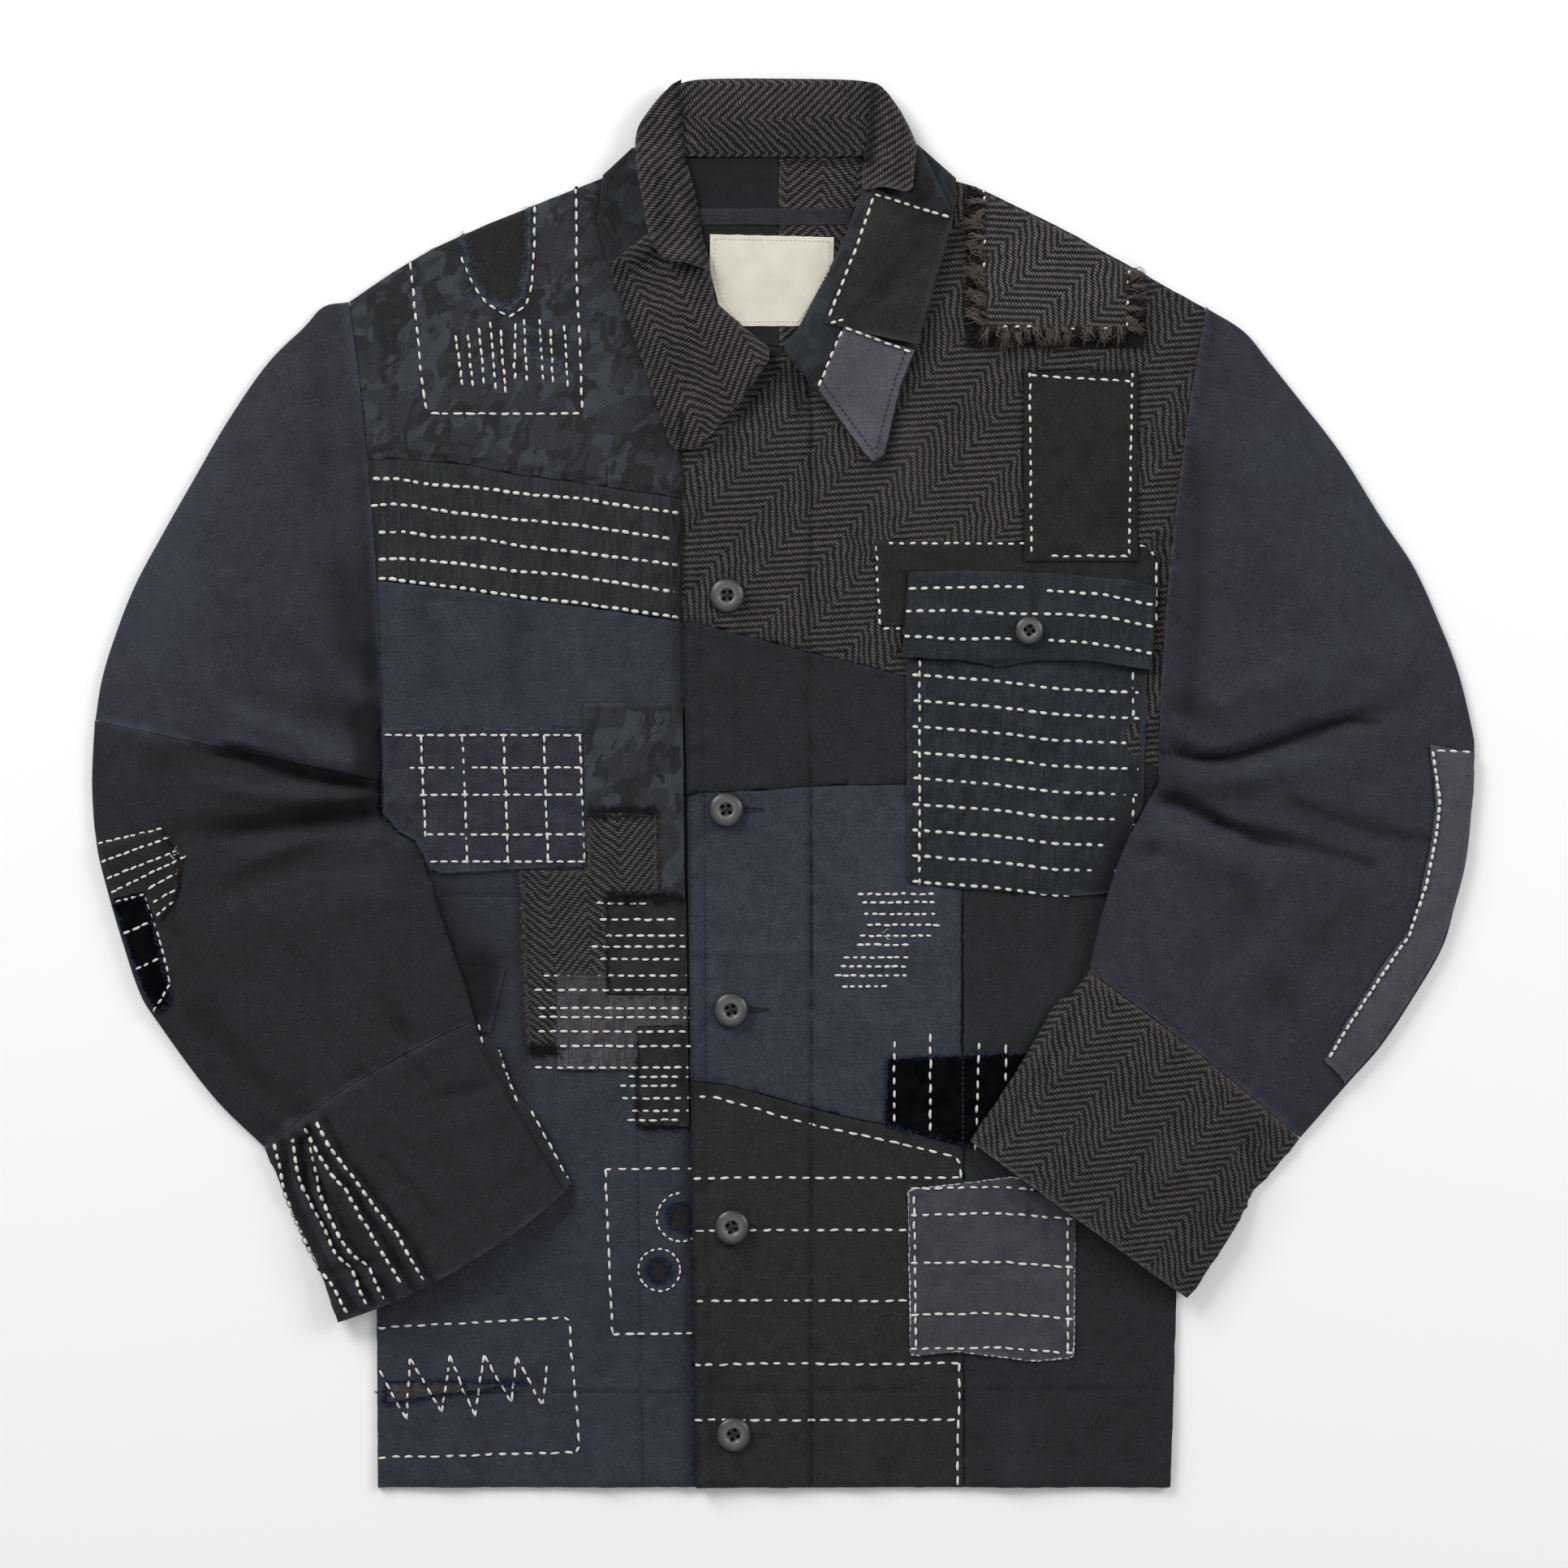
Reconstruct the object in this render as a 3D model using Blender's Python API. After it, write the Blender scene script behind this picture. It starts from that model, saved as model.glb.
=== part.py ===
"""A patched boro work jacket, laid flat on its back: a button-front jacket with a turned-down collar, one chest pocket and folded-in sleeves,
mended with many small cloths. Metres, +Z up; +Y is towards the collar and +X is the wearer's left. It rests on z = 0.
Every piece of cloth is its own wall, 0.3 mm or more from its neighbours. Sizes below are millimetres, turned to metres when a mesh is made."""

import math

import bpy
import numpy as np
from mathutils import Vector
from mathutils.geometry import delaunay_2d_cdt

MM = 0.001
CLOTH = 1.6  # a panel's wall
PATCH = 1.0  # a sewn-on patch
GAP = 0.3  # air at a seam and between layers
FRONT_LOW = CLOTH + GAP  # the fronts lie on the back
FRONT_TOP = FRONT_LOW + CLOTH
UNDERLAP_X = -28.0  # the right-hand edge of the lower front, under the closure
ARM_LOFT = 9.0  # air in the sleeves at their fullest
ARM_OVER = 5.9  # how high the sleeves' underside is where they lie on the fronts
BODY_SIDE = 226.0

for old in list(bpy.data.objects):
    bpy.data.objects.remove(old)


# ---------------------------------------------------------------- helpers
def smooth(t):
    t = np.clip(t, 0.0, 1.0)
    return t * t * (3 - 2 * t)


def distance(line, x, y):
    """From each point to the nearest place on an open line."""
    x, y = np.asarray(x, float), np.asarray(y, float)
    best = np.full(x.shape, 1e9)
    for (ax, ay), (bx, by) in zip(line[:-1], line[1:]):
        ux, uy = bx - ax, by - ay
        t = np.clip(((x - ax) * ux + (y - ay) * uy) / (ux * ux + uy * uy + 1e-12), 0, 1)
        best = np.minimum(best, np.hypot(x - ax - t * ux, y - ay - t * uy))
    return best


def inside(ring, x, y):
    x, y = np.asarray(x, float), np.asarray(y, float)
    odd = np.zeros(x.shape, bool)
    for (ax, ay), (bx, by) in zip(ring, ring[1:] + ring[:1]):
        crosses = (ay > y) != (by > y)
        with np.errstate(divide="ignore", invalid="ignore"):
            at = (bx - ax) * (y - ay) / (by - ay + 1e-30) + ax
        odd ^= crosses & (x < at)
    return odd


def moved(line, dx, dy):
    return [(x + dx, y + dy) for x, y in line]


def x_on(line, y):
    """Where a line that runs down the page is at this height."""
    for (ax, ay), (bx, by) in zip(line[:-1], line[1:]):
        if min(ay, by) <= y <= max(ay, by) and ay != by:
            return ax + (bx - ax) * (y - ay) / (by - ay)
    return line[-1][0]


def stretch_of(line, top, bottom):
    """The part of a line that runs down the page, between two heights, its ends cut to them."""
    within = [p for p in line if bottom + 0.5 < p[1] < top - 0.5]
    return [(x_on(line, top), top), *within, (x_on(line, bottom), bottom)]


def split(ring, longest):
    """The ring with no side longer than this."""
    out = []
    for (ax, ay), (bx, by) in zip(ring, ring[1:] + ring[:1]):
        n = max(1, math.ceil(math.hypot(bx - ax, by - ay) / longest))
        out += [(ax + (bx - ax) * k / n, ay + (by - ay) * k / n) for k in range(n)]
    return out


def raised(ring, x, y, height, near=3.0, far=16.0):
    """What a layer under this place adds: its full height over it, and sloping off past its edge."""
    d = np.where(inside(ring, x, y), 0.0, distance([*ring, ring[0]], x, y))
    return height * (1 - smooth((d - near) / (far - near)))


def material(name, colour, rough=0.9):
    mat = bpy.data.materials.get(name) or bpy.data.materials.new(name)
    mat.use_nodes = True
    shader = mat.node_tree.nodes["Principled BSDF"]
    shader.inputs["Base Color"].default_value = (*colour, 1)
    shader.inputs["Roughness"].default_value = rough
    mat.diffuse_color = (*colour, 1)
    return mat


def add(name, points, faces, mat):
    mesh = bpy.data.meshes.new(name)
    mesh.from_pydata([tuple(c * MM for c in p) for p in points], [], faces)
    mesh.validate()
    mesh.materials.append(mat)
    obj = bpy.data.objects.new(name, mesh)
    bpy.context.scene.collection.objects.link(obj)
    return obj


def slab(name, ring, low, wall, mat, pitch=None, holes=(), extra=(), top=None):
    """A piece of cloth: its outline, the height of its underside at each place, and its wall. A pitch gives it inner points, so that it can follow what is under it."""
    rings = [split(list(r), pitch * 1.3) if pitch else list(r) for r in (ring, *holes)]
    plan = [p for r in rings for p in r]
    edges, start = [], 0
    for r in rings:
        edges += [(start + k, start + (k + 1) % len(r)) for k in range(len(r))]
        start += len(r)
    more = list(extra)
    if pitch:
        xs, ys = zip(*ring)
        # one lattice for every piece, so that a patch turns where its panel does
        gx, gy = np.meshgrid(
            np.arange(math.floor(min(xs) / pitch), math.ceil(max(xs) / pitch) + 1) * pitch,
            np.arange(math.floor(min(ys) / pitch), math.ceil(max(ys) / pitch) + 1) * pitch,
        )
        gx, gy = gx.ravel(), gy.ravel()
        keep = inside(list(ring), gx, gy)
        for r in rings:
            keep &= distance([*r, r[0]], gx, gy) > 0.4 * pitch
        for hole in holes:
            keep &= ~inside(list(hole), gx, gy)
        more += list(zip(gx[keep], gy[keep]))
    pts, _, tris, *_ = delaunay_2d_cdt([Vector(p) for p in plan + more], edges, [], 0, 1e-5)
    pts = np.array([tuple(p) for p in pts])
    solid = []
    for a, b, c in tris:
        mx, my = pts[[a, b, c]].mean(axis=0)
        if not inside(list(rings[0]), mx, my) or any(inside(h, mx, my) for h in rings[1:]):
            continue
        turn = np.cross(pts[b] - pts[a], pts[c] - pts[a])
        if abs(turn) > 1e-6:
            solid.append((a, b, c) if turn > 0 else (a, c, b))
    used = sorted({i for t in solid for i in t})
    index = {old: new for new, old in enumerate(used)}
    pts = pts[used]
    solid = [tuple(index[i] for i in t) for t in solid]
    bottom = np.broadcast_to(low(pts[:, 0], pts[:, 1]), len(pts)).astype(float)
    above = bottom + wall if top is None else top(pts[:, 0], pts[:, 1])
    n = len(pts)
    sides = {(a, b) for t in solid for a, b in zip(t, t[1:] + t[:1])}
    rim = [(a, b) for a, b in sides if (b, a) not in sides]
    points = [(*p, z) for p, z in zip(pts, bottom)] + [(*p, z) for p, z in zip(pts, above)]
    faces = [(c, b, a) for a, b, c in solid] + [(a + n, b + n, c + n) for a, b, c in solid]
    faces += [(a, b, b + n, a + n) for a, b in sorted(rim)]
    return add(name, points, faces, mat)


def chord(outer, inner, bow, v):
    """A place on a sleeve's cross-section, seen from above: v runs from its outer fold to its inner one, and the bow bends it down the arm."""
    (ax, ay), (bx, by) = outer, inner
    length = math.hypot(bx - ax, by - ay)
    nx, ny = (by - ay) / length, -(bx - ax) / length
    if ny > 0:
        nx, ny = -nx, -ny
    k = 4 * v * (1 - v) * bow
    return ax + (bx - ax) * v + nx * k, ay + (by - ay) * v + ny * k


def tube(name, rows, arm, mat, across=11, wall=CLOTH):
    """A flattened sleeve or cuff through its sections: a wall all round, open at both ends."""
    steps = [(1 - math.cos(math.pi * k / across)) / 2 for k in range(across + 1)]
    points, loop = [], 2 * (across + 1)
    for outer, inner, bow, lift in rows:
        length = math.hypot(inner[0] - outer[0], inner[1] - outer[1])
        inset = (wall + 0.4) / length
        for shrink, off in ((0.0, 0.0), (inset, wall)):
            vs = [shrink + v * (1 - 2 * shrink) for v in steps]
            flat = [chord(outer, inner, bow, v) for v in vs]
            x, y = (np.array(c) for c in zip(*flat))
            base = arm["base"](x, y, lift)
            air = arm["air"](x, y)
            under = base + off
            over = base + FRONT_TOP + air - off
            points += [(*p, z) for p, z in zip(flat, under)]
            points += [(*p, z) for p, z in zip(flat[::-1], over[::-1])]
    faces = []
    row = 2 * loop
    for i in range(len(rows) - 1):
        for k in range(loop):
            j = (k + 1) % loop
            a, b, c, d = i * row + k, i * row + j, (i + 1) * row + j, (i + 1) * row + k
            faces.append((a, b, c, d))
            faces.append((d + loop, c + loop, b + loop, a + loop))
    last = (len(rows) - 1) * row
    for k in range(loop):
        j = (k + 1) % loop
        faces.append((k, k + loop, j + loop, j))
        faces.append((last + j, last + j + loop, last + k + loop, last + k))
    obj = add(name, points, faces, mat)
    mesh = obj.data
    volume = 0.0
    mesh.calc_loop_triangles()
    for t in mesh.loop_triangles:
        a, b, c = (mesh.vertices[i].co for i in t.vertices)
        volume += a.dot(b.cross(c))
    if volume < 0:
        mesh.flip_normals()
    return obj


def button(name, cx, cy, radius, z, mat):
    """A four-hole button with a raised rim, its holes cut through."""
    n = 20
    ring = [(cx + radius * math.cos(2 * math.pi * k / n), cy + radius * math.sin(2 * math.pi * k / n)) for k in range(n)]
    holes = []
    for sx in (-1, 1):
        for sy in (-1, 1):
            mx, my = cx + sx * 0.21 * radius, cy + sy * 0.21 * radius
            holes.append([(mx + 0.95 * math.cos(math.pi * k / 3), my + 0.95 * math.sin(math.pi * k / 3)) for k in range(6)])
    bands = [
        (cx + radius * s * math.cos(2 * math.pi * (k + 0.5) / n), cy + radius * s * math.sin(2 * math.pi * (k + 0.5) / n))
        for s in (0.66, 0.78, 0.93)
        for k in range(n)
    ]

    def top(x, y):
        r = np.hypot(x - cx, y - cy) / radius
        return z + 2.0 + 1.0 * smooth((r - 0.66) / 0.12) - 0.8 * smooth((r - 0.93) / 0.07)

    return slab(name, ring, lambda x, y: z, 3.0, mat, holes=holes, extra=bands, top=top)


# ---------------------------------------------------------------- outlines that several pieces share
SHOULDER_L = [(-60.8, 347), (-100.8, 335.5), (-164.3, 310.3), (-195.8, 296), (-218.3, 282.4), (-240.6, 267.4)]
SHOULDER_R = [(51.8, 347), (89.1, 335.5), (105.8, 331), (150.8, 309.4), (195.8, 284.6), (233.6, 263.6)]
NECK_L = [(-60.8, 347), (-51.8, 305), (-45, 273.3), (-31.5, 251), (UNDERLAP_X, 246.5)]
NECK_R = [(51.8, 347), (47.3, 318.4), (38.3, 296), (20.3, 262), (4.5, 239.6), (-11, 236), (-50, 214), (-56.3, 207)]
HEM = -389.5

# arm sections: outer fold, inner fold, bow, lift of the inner side over the fronts
ARM_L_UPPER = [
    ((-241, 267), (-223.3, 1.6), -5.0, 0),
    ((-255, 264.5), (-223.5, 1.65), -4.0, 0),
    ((-266, 253), (-223.8, 1.7), -3.0, 0),
    ((-286, 233), (-224.1, 1.75), -2.0, 0),
    ((-308, 201.4), (-224.3, 1.8), 0, 0),
    ((-326.3, 170), (-224.5, 1.85), 0, 0),
    ((-344.3, 138.4), (-224.7, 1.9), 0, 0),
    ((-360, 109), (-224.9, 1.95), 0, 0),
    ((-371.3, 80), (-225.1, 2.0), 0, 0),
    ((-378, 57.4), (-225.3, 2.05), 0, 0),
    ((-381.6, 35.3), (-225.5, 2.1), 0, 0),
]
ARM_L_LOWER = [
    ((-381.6, 34.8), (-223.3, 1.2), 0, 0),
    ((-383.4, 3.4), (-223.2, -8), 0, 0),
    ((-382.5, -19), (-222.4, -16), 0, 0),
    ((-381.2, -30), (-214.6, -26.8), 0, 0),
    ((-379.4, -41.6), (-204.8, -32.6), 0, 0),
    ((-373.5, -64), (-200.3, -41.6), 0, 0),
    ((-366.8, -86.6), (-194, -60), 0, 1),
    ((-357.8, -113.6), (-186.8, -82), 0, 1),
    ((-348.8, -129.4), (-181, -98), 0, 1),
    ((-317.3, -172), (-175.5, -113.6), -3, 1),
    ((-288, -201.2), (-171, -130.5), -5, 1),
]
CUFF_L = [
    ((-287.8, -201.6), (-170.8, -130.9), -5, 1),
    ((-279, -221.6), (-166, -144), -2, 1),
    ((-265, -252.7), (-147.6, -177.5), 3, 1),
    ((-255.6, -273.4), (-134, -203), 6, 1),
    ((-246.6, -297.5), (-121.5, -225.7), 7, 1),
]
ARM_R = [
    ((234, 263.8), (207.4, 5.5), -5.5, 0),
    ((254.3, 251), (207.7, 4.5), -4, 0),
    ((267.8, 235), (207.9, 3.5), -2, 0),
    ((285.8, 212.6), (208, 2.5), 0, 0),
    ((308.3, 183.4), (208, 1.5), 0, 0),
    ((330.8, 147.4), (207.8, 0.5), 0, 0),
    ((348.8, 120.4), (207.4, -0.5), 0, 0),
    ((362.3, 91), (206.8, -1.5), 0, 0),
    ((373.5, 62), (206, -2.7), 0, 0),
    ((381.2, 30.4), (204.8, -4.2), 0, 0),
    ((382.5, 17), (204, -5.5), 0, 0),
    ((381.2, -10), (203, -7), 0, 0),
    ((378, -41.6), (193.5, -24), 0, 1),
    ((371.3, -68.6), (187, -38), 0, 1),
    ((364.5, -91), (182.3, -50.6), 0, 1),
    ((348.8, -118), (177, -68), 0, 1),
    ((330.8, -145), (173.3, -82), 0, 1),
    ((312.8, -165.4), (170.8, -93), -1, 1),
    ((286, -196), (168.8, -103.5), -2, 1),
]
CUFF_R = [
    ((285.6, -196.5), (168.4, -103.9), -2, 1),
    ((270, -215.5), (158, -117), -1, 1),
    ((259, -226.5), (149.4, -123.5), 0, 1),
    ((252.5, -241), (127, -160), 0, 1),
    ((239.4, -260.8), (115, -179), 0, 1),
    ((223.3, -284.5), (102.8, -197.2), 0, 1),
]


def armhole(row, n=12):
    return [chord(row[0], row[1], row[2], k / n) for k in range(n + 1)]


# The armholes' edges on the body, then the side edges, which tuck in under the sleeves.
EDGE_L = moved(armhole(ARM_L_UPPER[0]), 0.45, 0) + [
    (-222.75, -8), (-221.9, -15.8), (-214.1, -26.4), (-204.3, -32.2), (-199.8, -41.5), (-193.5, -60), (-196, -67), (-212, -90), (-224, -120), (-225.5, -289), (-225, HEM)]
EDGE_R = moved(armhole(ARM_R[0]), -0.45, 0) + [
    (202.5, -6.9), (193, -23.8), (194, -30), (204, -46), (213, -80), (217, -120), (217.4, -284.6), (214, HEM)]

# The folds that lie along each arm.
OUTER_L = [r[0] for r in ARM_L_UPPER + ARM_L_LOWER + CUFF_L]
INNER_L = armhole(ARM_L_UPPER[0]) + [r[1] for r in ARM_L_LOWER + CUFF_L]
OUTER_R = [r[0] for r in ARM_R + CUFF_R]
INNER_R = armhole(ARM_R[0]) + [r[1] for r in ARM_R + CUFF_R][1:]

# Soft ridges in the fronts: from, to, height, half width
RIDGES = [
    ((-170, 60), (-120, -100), 1.1, 46),
    ((-140, -210), (-180, -330), 1.0, 48),
    ((60, 210), (110, 120), 1.1, 46),
    ((60, -80), (40, -300), 1.0, 48),
    ((170, -330), (150, -240), 0.9, 46),
]


def lie(x, y):
    out = np.zeros(np.shape(x))
    for a, b, height, width in RIDGES:
        out = np.maximum(out, height * (1 - smooth(distance([a, b], x, y) / width)))
    return out


def lap(x, y):
    """The upper front climbs over the lower one at the closure."""
    return (CLOTH + GAP) * (1 - smooth((np.asarray(x, float) - UNDERLAP_X - 14) / 16))


def low_l(x, y):
    return FRONT_LOW + lie(x, y)


def low_r(x, y):
    return FRONT_LOW + lie(x, y) + lap(x, y)


def on_l(x, y):
    return low_l(x, y) + CLOTH + GAP


def on_r(x, y):
    return low_r(x, y) + CLOTH + GAP


def arm(side, outer, inner):
    def base(x, y, lift):
        over = smooth((BODY_SIDE + 38 - side * x) / 20)
        return lift * over * (ARM_OVER + lie(x, y))

    def air(x, y):
        round_off = lambda t: 1 - (1 - np.clip(t, 0, 1)) ** 2
        return ARM_LOFT * round_off(distance(outer, x, y) / 55) * round_off(distance(inner, x, y) / 50)

    return {"base": base, "air": air}


ARM_LEFT, ARM_RIGHT = arm(-1, OUTER_L, INNER_L), arm(1, OUTER_R, INNER_R)

# ---------------------------------------------------------------- cloths
navy = material("navy_twill", (0.026, 0.029, 0.044))
black = material("black_twill", (0.016, 0.018, 0.02))
slate = material("slate_navy", (0.027, 0.033, 0.047))
camo = material("tonal_camouflage", (0.02, 0.024, 0.029))
tweed = material("herringbone_tweed", (0.045, 0.039, 0.035))
brown = material("brown_black_cotton", (0.021, 0.018, 0.016))
grey = material("grey_cotton", (0.058, 0.058, 0.076))
mauve = material("mauve_grey_cotton", (0.045, 0.04, 0.048))
velvet = material("blue_black_velvet", (0.004, 0.005, 0.008), 0.8)
horn = material("grey_button", (0.07, 0.076, 0.076), 0.4)
cream = material("cream_label", (0.82, 0.79, 0.69))

# ---------------------------------------------------------------- back and what shows of its inside at the neck
slab("back_panel",
     [*SHOULDER_L, *EDGE_L[1:], *reversed(EDGE_R[1:]), *reversed(SHOULDER_R)],
     lambda x, y: 0.0, CLOTH, black)
slab("neck_lining_l",
     [(-60.2, 346.7), (-51.2, 305), (-44.4, 273.3), (-30.9, 251.3), (-27.2, 247), (-27.2, 243), (-3.3, 243), (-3.3, 346.7)],
     lambda x, y: FRONT_LOW, 0.8, black)
slab("neck_lining_r",
     [(-2.9, 346.7), (-2.9, 243), (6.2, 243), (19.6, 262.2), (37.6, 296.2), (46.6, 318.5), (51.1, 346.7)],
     lambda x, y: FRONT_LOW, 0.8, tweed)
slab("neck_tape", [(-48.5, 318.8), (-47, 309.8), (36, 309.8), (38, 318.8)], lambda x, y: FRONT_LOW + 1.1, 0.5, navy)
slab("neck_label",
     [(-41, 304.4), (-41, 285), (-36.5, 266), (-26, 253.6), (9, 253.6), (16, 264), (27.5, 283), (27.5, 302.8)],
     lambda x, y: FRONT_LOW + 1.1, 0.5, cream)

# ---------------------------------------------------------------- the viewer's left front, in three panels
SEAM_YOKE = [(-212, 180.2), (-174.6, 176.6), (-146.3, 170.8), (-119.3, 167.6), (-55.8, 158.2), (UNDERLAP_X, 154)]
SEAM_BAND = [(-197.6, 109.6), (-169.2, 106), (-140.4, 101.5), (-111.6, 98.3), (-56.3, 89.8), (UNDERLAP_X, 86)]
HOLE_YOKE = [(-177.5, 298.5), (-173.3, 281), (-163.4, 264.8), (-151.7, 260), (-141.8, 268), (-138.5, 285), (-139.5, 316)]
HOLE_SLIT = [(-221, -331), (-221, -343.5), (-190, -338.5), (-160, -335), (-142, -331), (-190, -330)]
HOLE_SPOTS = [(-56.7, -239.6, 8.0), (-69.3, -268.9, 6.9)]  # centre and radius


def spot(cx, cy, r, n=14):
    return [(cx + r * math.cos(2 * math.pi * k / n), cy + r * math.sin(2 * math.pi * k / n)) for k in range(n)]


def within(ring, d):
    """A ring drawn in by about d, for the cloth that shows through a hole."""
    cx = sum(p[0] for p in ring) / len(ring)
    cy = sum(p[1] for p in ring) / len(ring)
    return [(x - d * np.sign(x - cx), y - d * np.sign(y - cy)) for x, y in ring]


slab("front_l_yoke",
     [*NECK_L, (UNDERLAP_X, 154.2), *moved(SEAM_YOKE[::-1][1:], 0, 0.2), *reversed(stretch_of(EDGE_L, 267, 179.6)), *reversed(SHOULDER_L[:-1])],
     low_l, CLOTH, camo, pitch=30, holes=[HOLE_YOKE])
slab("front_l_band",
     [*stretch_of(EDGE_L, 179.2, 112.8), *moved(SEAM_BAND, 0, 0.2), *moved(SEAM_YOKE[::-1], 0, -0.2)],
     low_l, CLOTH, black, pitch=30)
slab("front_l_panel",
     [*stretch_of(EDGE_L, 112.4, HEM), (UNDERLAP_X, HEM), *moved(SEAM_BAND[::-1], 0, -0.2)],
     low_l, CLOTH, navy, pitch=30, holes=[HOLE_SLIT, *[spot(*s) for s in HOLE_SPOTS]])
slab("backing_yoke", within(HOLE_YOKE, 0.9), lambda x, y: low_l(x, y), 0.8, black)
slab("backing_slit", [(-220, -332), (-220, -342.6), (-190, -337.7), (-160, -334.2), (-150, -332.6), (-190, -331)], lambda x, y: low_l(x, y), 0.8, brown)
for k, (cx, cy, r) in enumerate(HOLE_SPOTS):
    slab(f"backing_spot_{k + 1}", spot(cx, cy, r - 0.6), lambda x, y: low_l(x, y), 0.8, brown)

# ---------------------------------------------------------------- the viewer's right front, in five panels
EDGE_CLOSURE = [(-56.3, 207), (-56.3, 89), (-53.6, -5.6), (-51.8, -167.6), (-50.9, -239.6), (-48.6, HEM)]
SEAM_C = [(-35.1, 85.7), (-14, 80.3), (14, 73.1), (44.1, 65.9), (66.6, 59.6), (128.3, 37.1), (201, 11)]
SEAM_D = [(-44.6, -4.7), (-10.4, -3.4), (16.2, -1.1), (66.2, -0.2), (130, -1.5)]
SEAM_E = [(-31, -166.7), (-10.4, -172.1), (16.2, -179.8), (38.3, -185.2), (63, -190.1), (75.2, -194.2)]
SIDE_SEAM_X = 99.2

slab("front_r_upper",
     [*NECK_R, *stretch_of(EDGE_CLOSURE, 200, 91.2), *moved(SEAM_C, 0, 0.2), *reversed(stretch_of(EDGE_R, 263, 9.3)), *reversed(SHOULDER_R[1:-1])],
     low_r, CLOTH, tweed, pitch=30)
slab("front_r_mid",
     [*stretch_of(EDGE_CLOSURE, 90.7, -6.6), *moved(SEAM_D, 0, 0.2), *reversed(stretch_of(EDGE_R, 8.8, -2.3)), *moved(SEAM_C[::-1], 0, -0.2)],
     low_r, CLOTH, black, pitch=30)
slab("front_r_slate",
     [*stretch_of(EDGE_CLOSURE, -7, -163.8), *moved(SEAM_E, 0, 0.2), (SIDE_SEAM_X - 0.2, -200.7), (SIDE_SEAM_X - 0.2, -1.2), *moved(SEAM_D[:-1][::-1], 0, -0.2)],
     low_r, CLOTH, slate, pitch=30)
slab("front_r_side",
     [(SIDE_SEAM_X + 0.2, -1.3), (SIDE_SEAM_X + 0.2, HEM), *reversed(stretch_of(EDGE_R, -2.7, HEM)), (130, -2)],
     low_r, CLOTH, black, pitch=30)
slab("front_r_lower",
     [*stretch_of(EDGE_CLOSURE, -164.2, HEM), (SIDE_SEAM_X - 0.2, HEM), (SIDE_SEAM_X - 0.2, -201.1), *moved(SEAM_E[::-1], 0, -0.2)],
     low_r, CLOTH, brown, pitch=30)

# ---------------------------------------------------------------- patches on the left front
CAMO_PATCH = [(-111, 44.7), (-111, -63.5), (-55, -63.5), (-56, 44.7)]
slab("patch_l_camo", CAMO_PATCH, on_l, PATCH, camo, pitch=15)
slab("patch_l_grid",
     [(-221.8, 31), (-221.4, -15.6), (-213.6, -26), (-203.4, -31.6), (-198.8, -42), (-197, -46), (-191, -49.5), (-111.6, -45.2), (-111.6, 30.5)],
     on_l, PATCH, navy, pitch=15)
slab("patch_l_tweed",
     [(-108, -16.5), (-108, -48), (-145.4, -48), (-141.3, -145.5), (-125.6, -145.5), (-125.6, -105.6), (-97.8, -105.6), (-97.8, -63), (-70.7, -61), (-70.7, -16.5)],
     lambda x, y: on_l(x, y) + raised(CAMO_PATCH, x, y, PATCH + GAP), PATCH, tweed, pitch=10)
slab("patch_l_brown_upper", [(-97.4, -63.9), (-97.4, -116.5), (-53.4, -116.5), (-54, -63.9)], on_l, PATCH, brown, pitch=15)
slab("patch_l_mauve",
     [(-125.2, -106), (-125.2, -158), (-80.8, -158), (-80.8, -134), (-53.2, -133.5), (-53.2, -117), (-97.8, -117), (-97.8, -106)],
     on_l, PATCH, mauve, pitch=15)
slab("patch_l_brown_lower", [(-80.3, -134.4), (-80.3, -189), (-52.6, -189.5), (-53, -133.9)], on_l, PATCH, brown, pitch=15)
slab("welt_l", [(-182, -100), (-176, -138), (-162.5, -137.5), (-154.4, -102.4)], on_l, PATCH, black, pitch=15)

# ---------------------------------------------------------------- patches, pocket and flap on the right front
BEHIND_FLAP = [(50.9, 134.8), (53, 88), (206, 86.6), (206.4, 122.6), (203.4, 129.8), (197, 132.5)]
POCKET = [(67.5, 95), (68.4, -54.2), (99, -57.8), (162.5, -61.9), (181.8, -60.5), (196.5, -60.5), (197.5, -44), (192.6, -31), (192.4, -25.4), (198.9, -12), (201, 63), (201, 95)]
slab("patch_r_behind_flap", BEHIND_FLAP, on_r, PATCH, brown, pitch=15)
slab("patch_r_tall", [(132.8, 228), (132.8, 123.5), (195.8, 123.5), (195.8, 228)],
     lambda x, y: on_r(x, y) + raised(BEHIND_FLAP, x, y, PATCH + GAP), PATCH, brown, pitch=10)
slab("pocket_bag", POCKET, lambda x, y: on_r(x, y) + raised(BEHIND_FLAP, x, y, PATCH + GAP), 1.2, navy, pitch=10)
FLAP_LIFT = PATCH + GAP + 1.2 + GAP
slab("pocket_flap",
     [(68.9, 117.2), (65.3, 70.4), (97.7, 68.6), (118.4, 64.6), (139.1, 68.2), (166.5, 68.6), (194.4, 64.6), (203.4, 63.2), (206.1, 108.7), (194.4, 112.3), (153, 116.3), (97.7, 118.1)],
     lambda x, y: on_r(x, y) + FLAP_LIFT, 1.4, navy, pitch=15)
slab("patch_r_velvet", [(57, -152), (55.8, -188.5), (75, -193.6), (99, -200.2), (150, -207), (150, -148)], on_r, PATCH, velvet, pitch=15)
slab("patch_r_grey",
     [(68.9, -224.8), (70.2, -316.6), (94.5, -314), (137.3, -319.3), (160.2, -317.5), (161.1, -222), (126.5, -217.6)],
     on_r, PATCH, grey, pitch=15)
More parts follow.
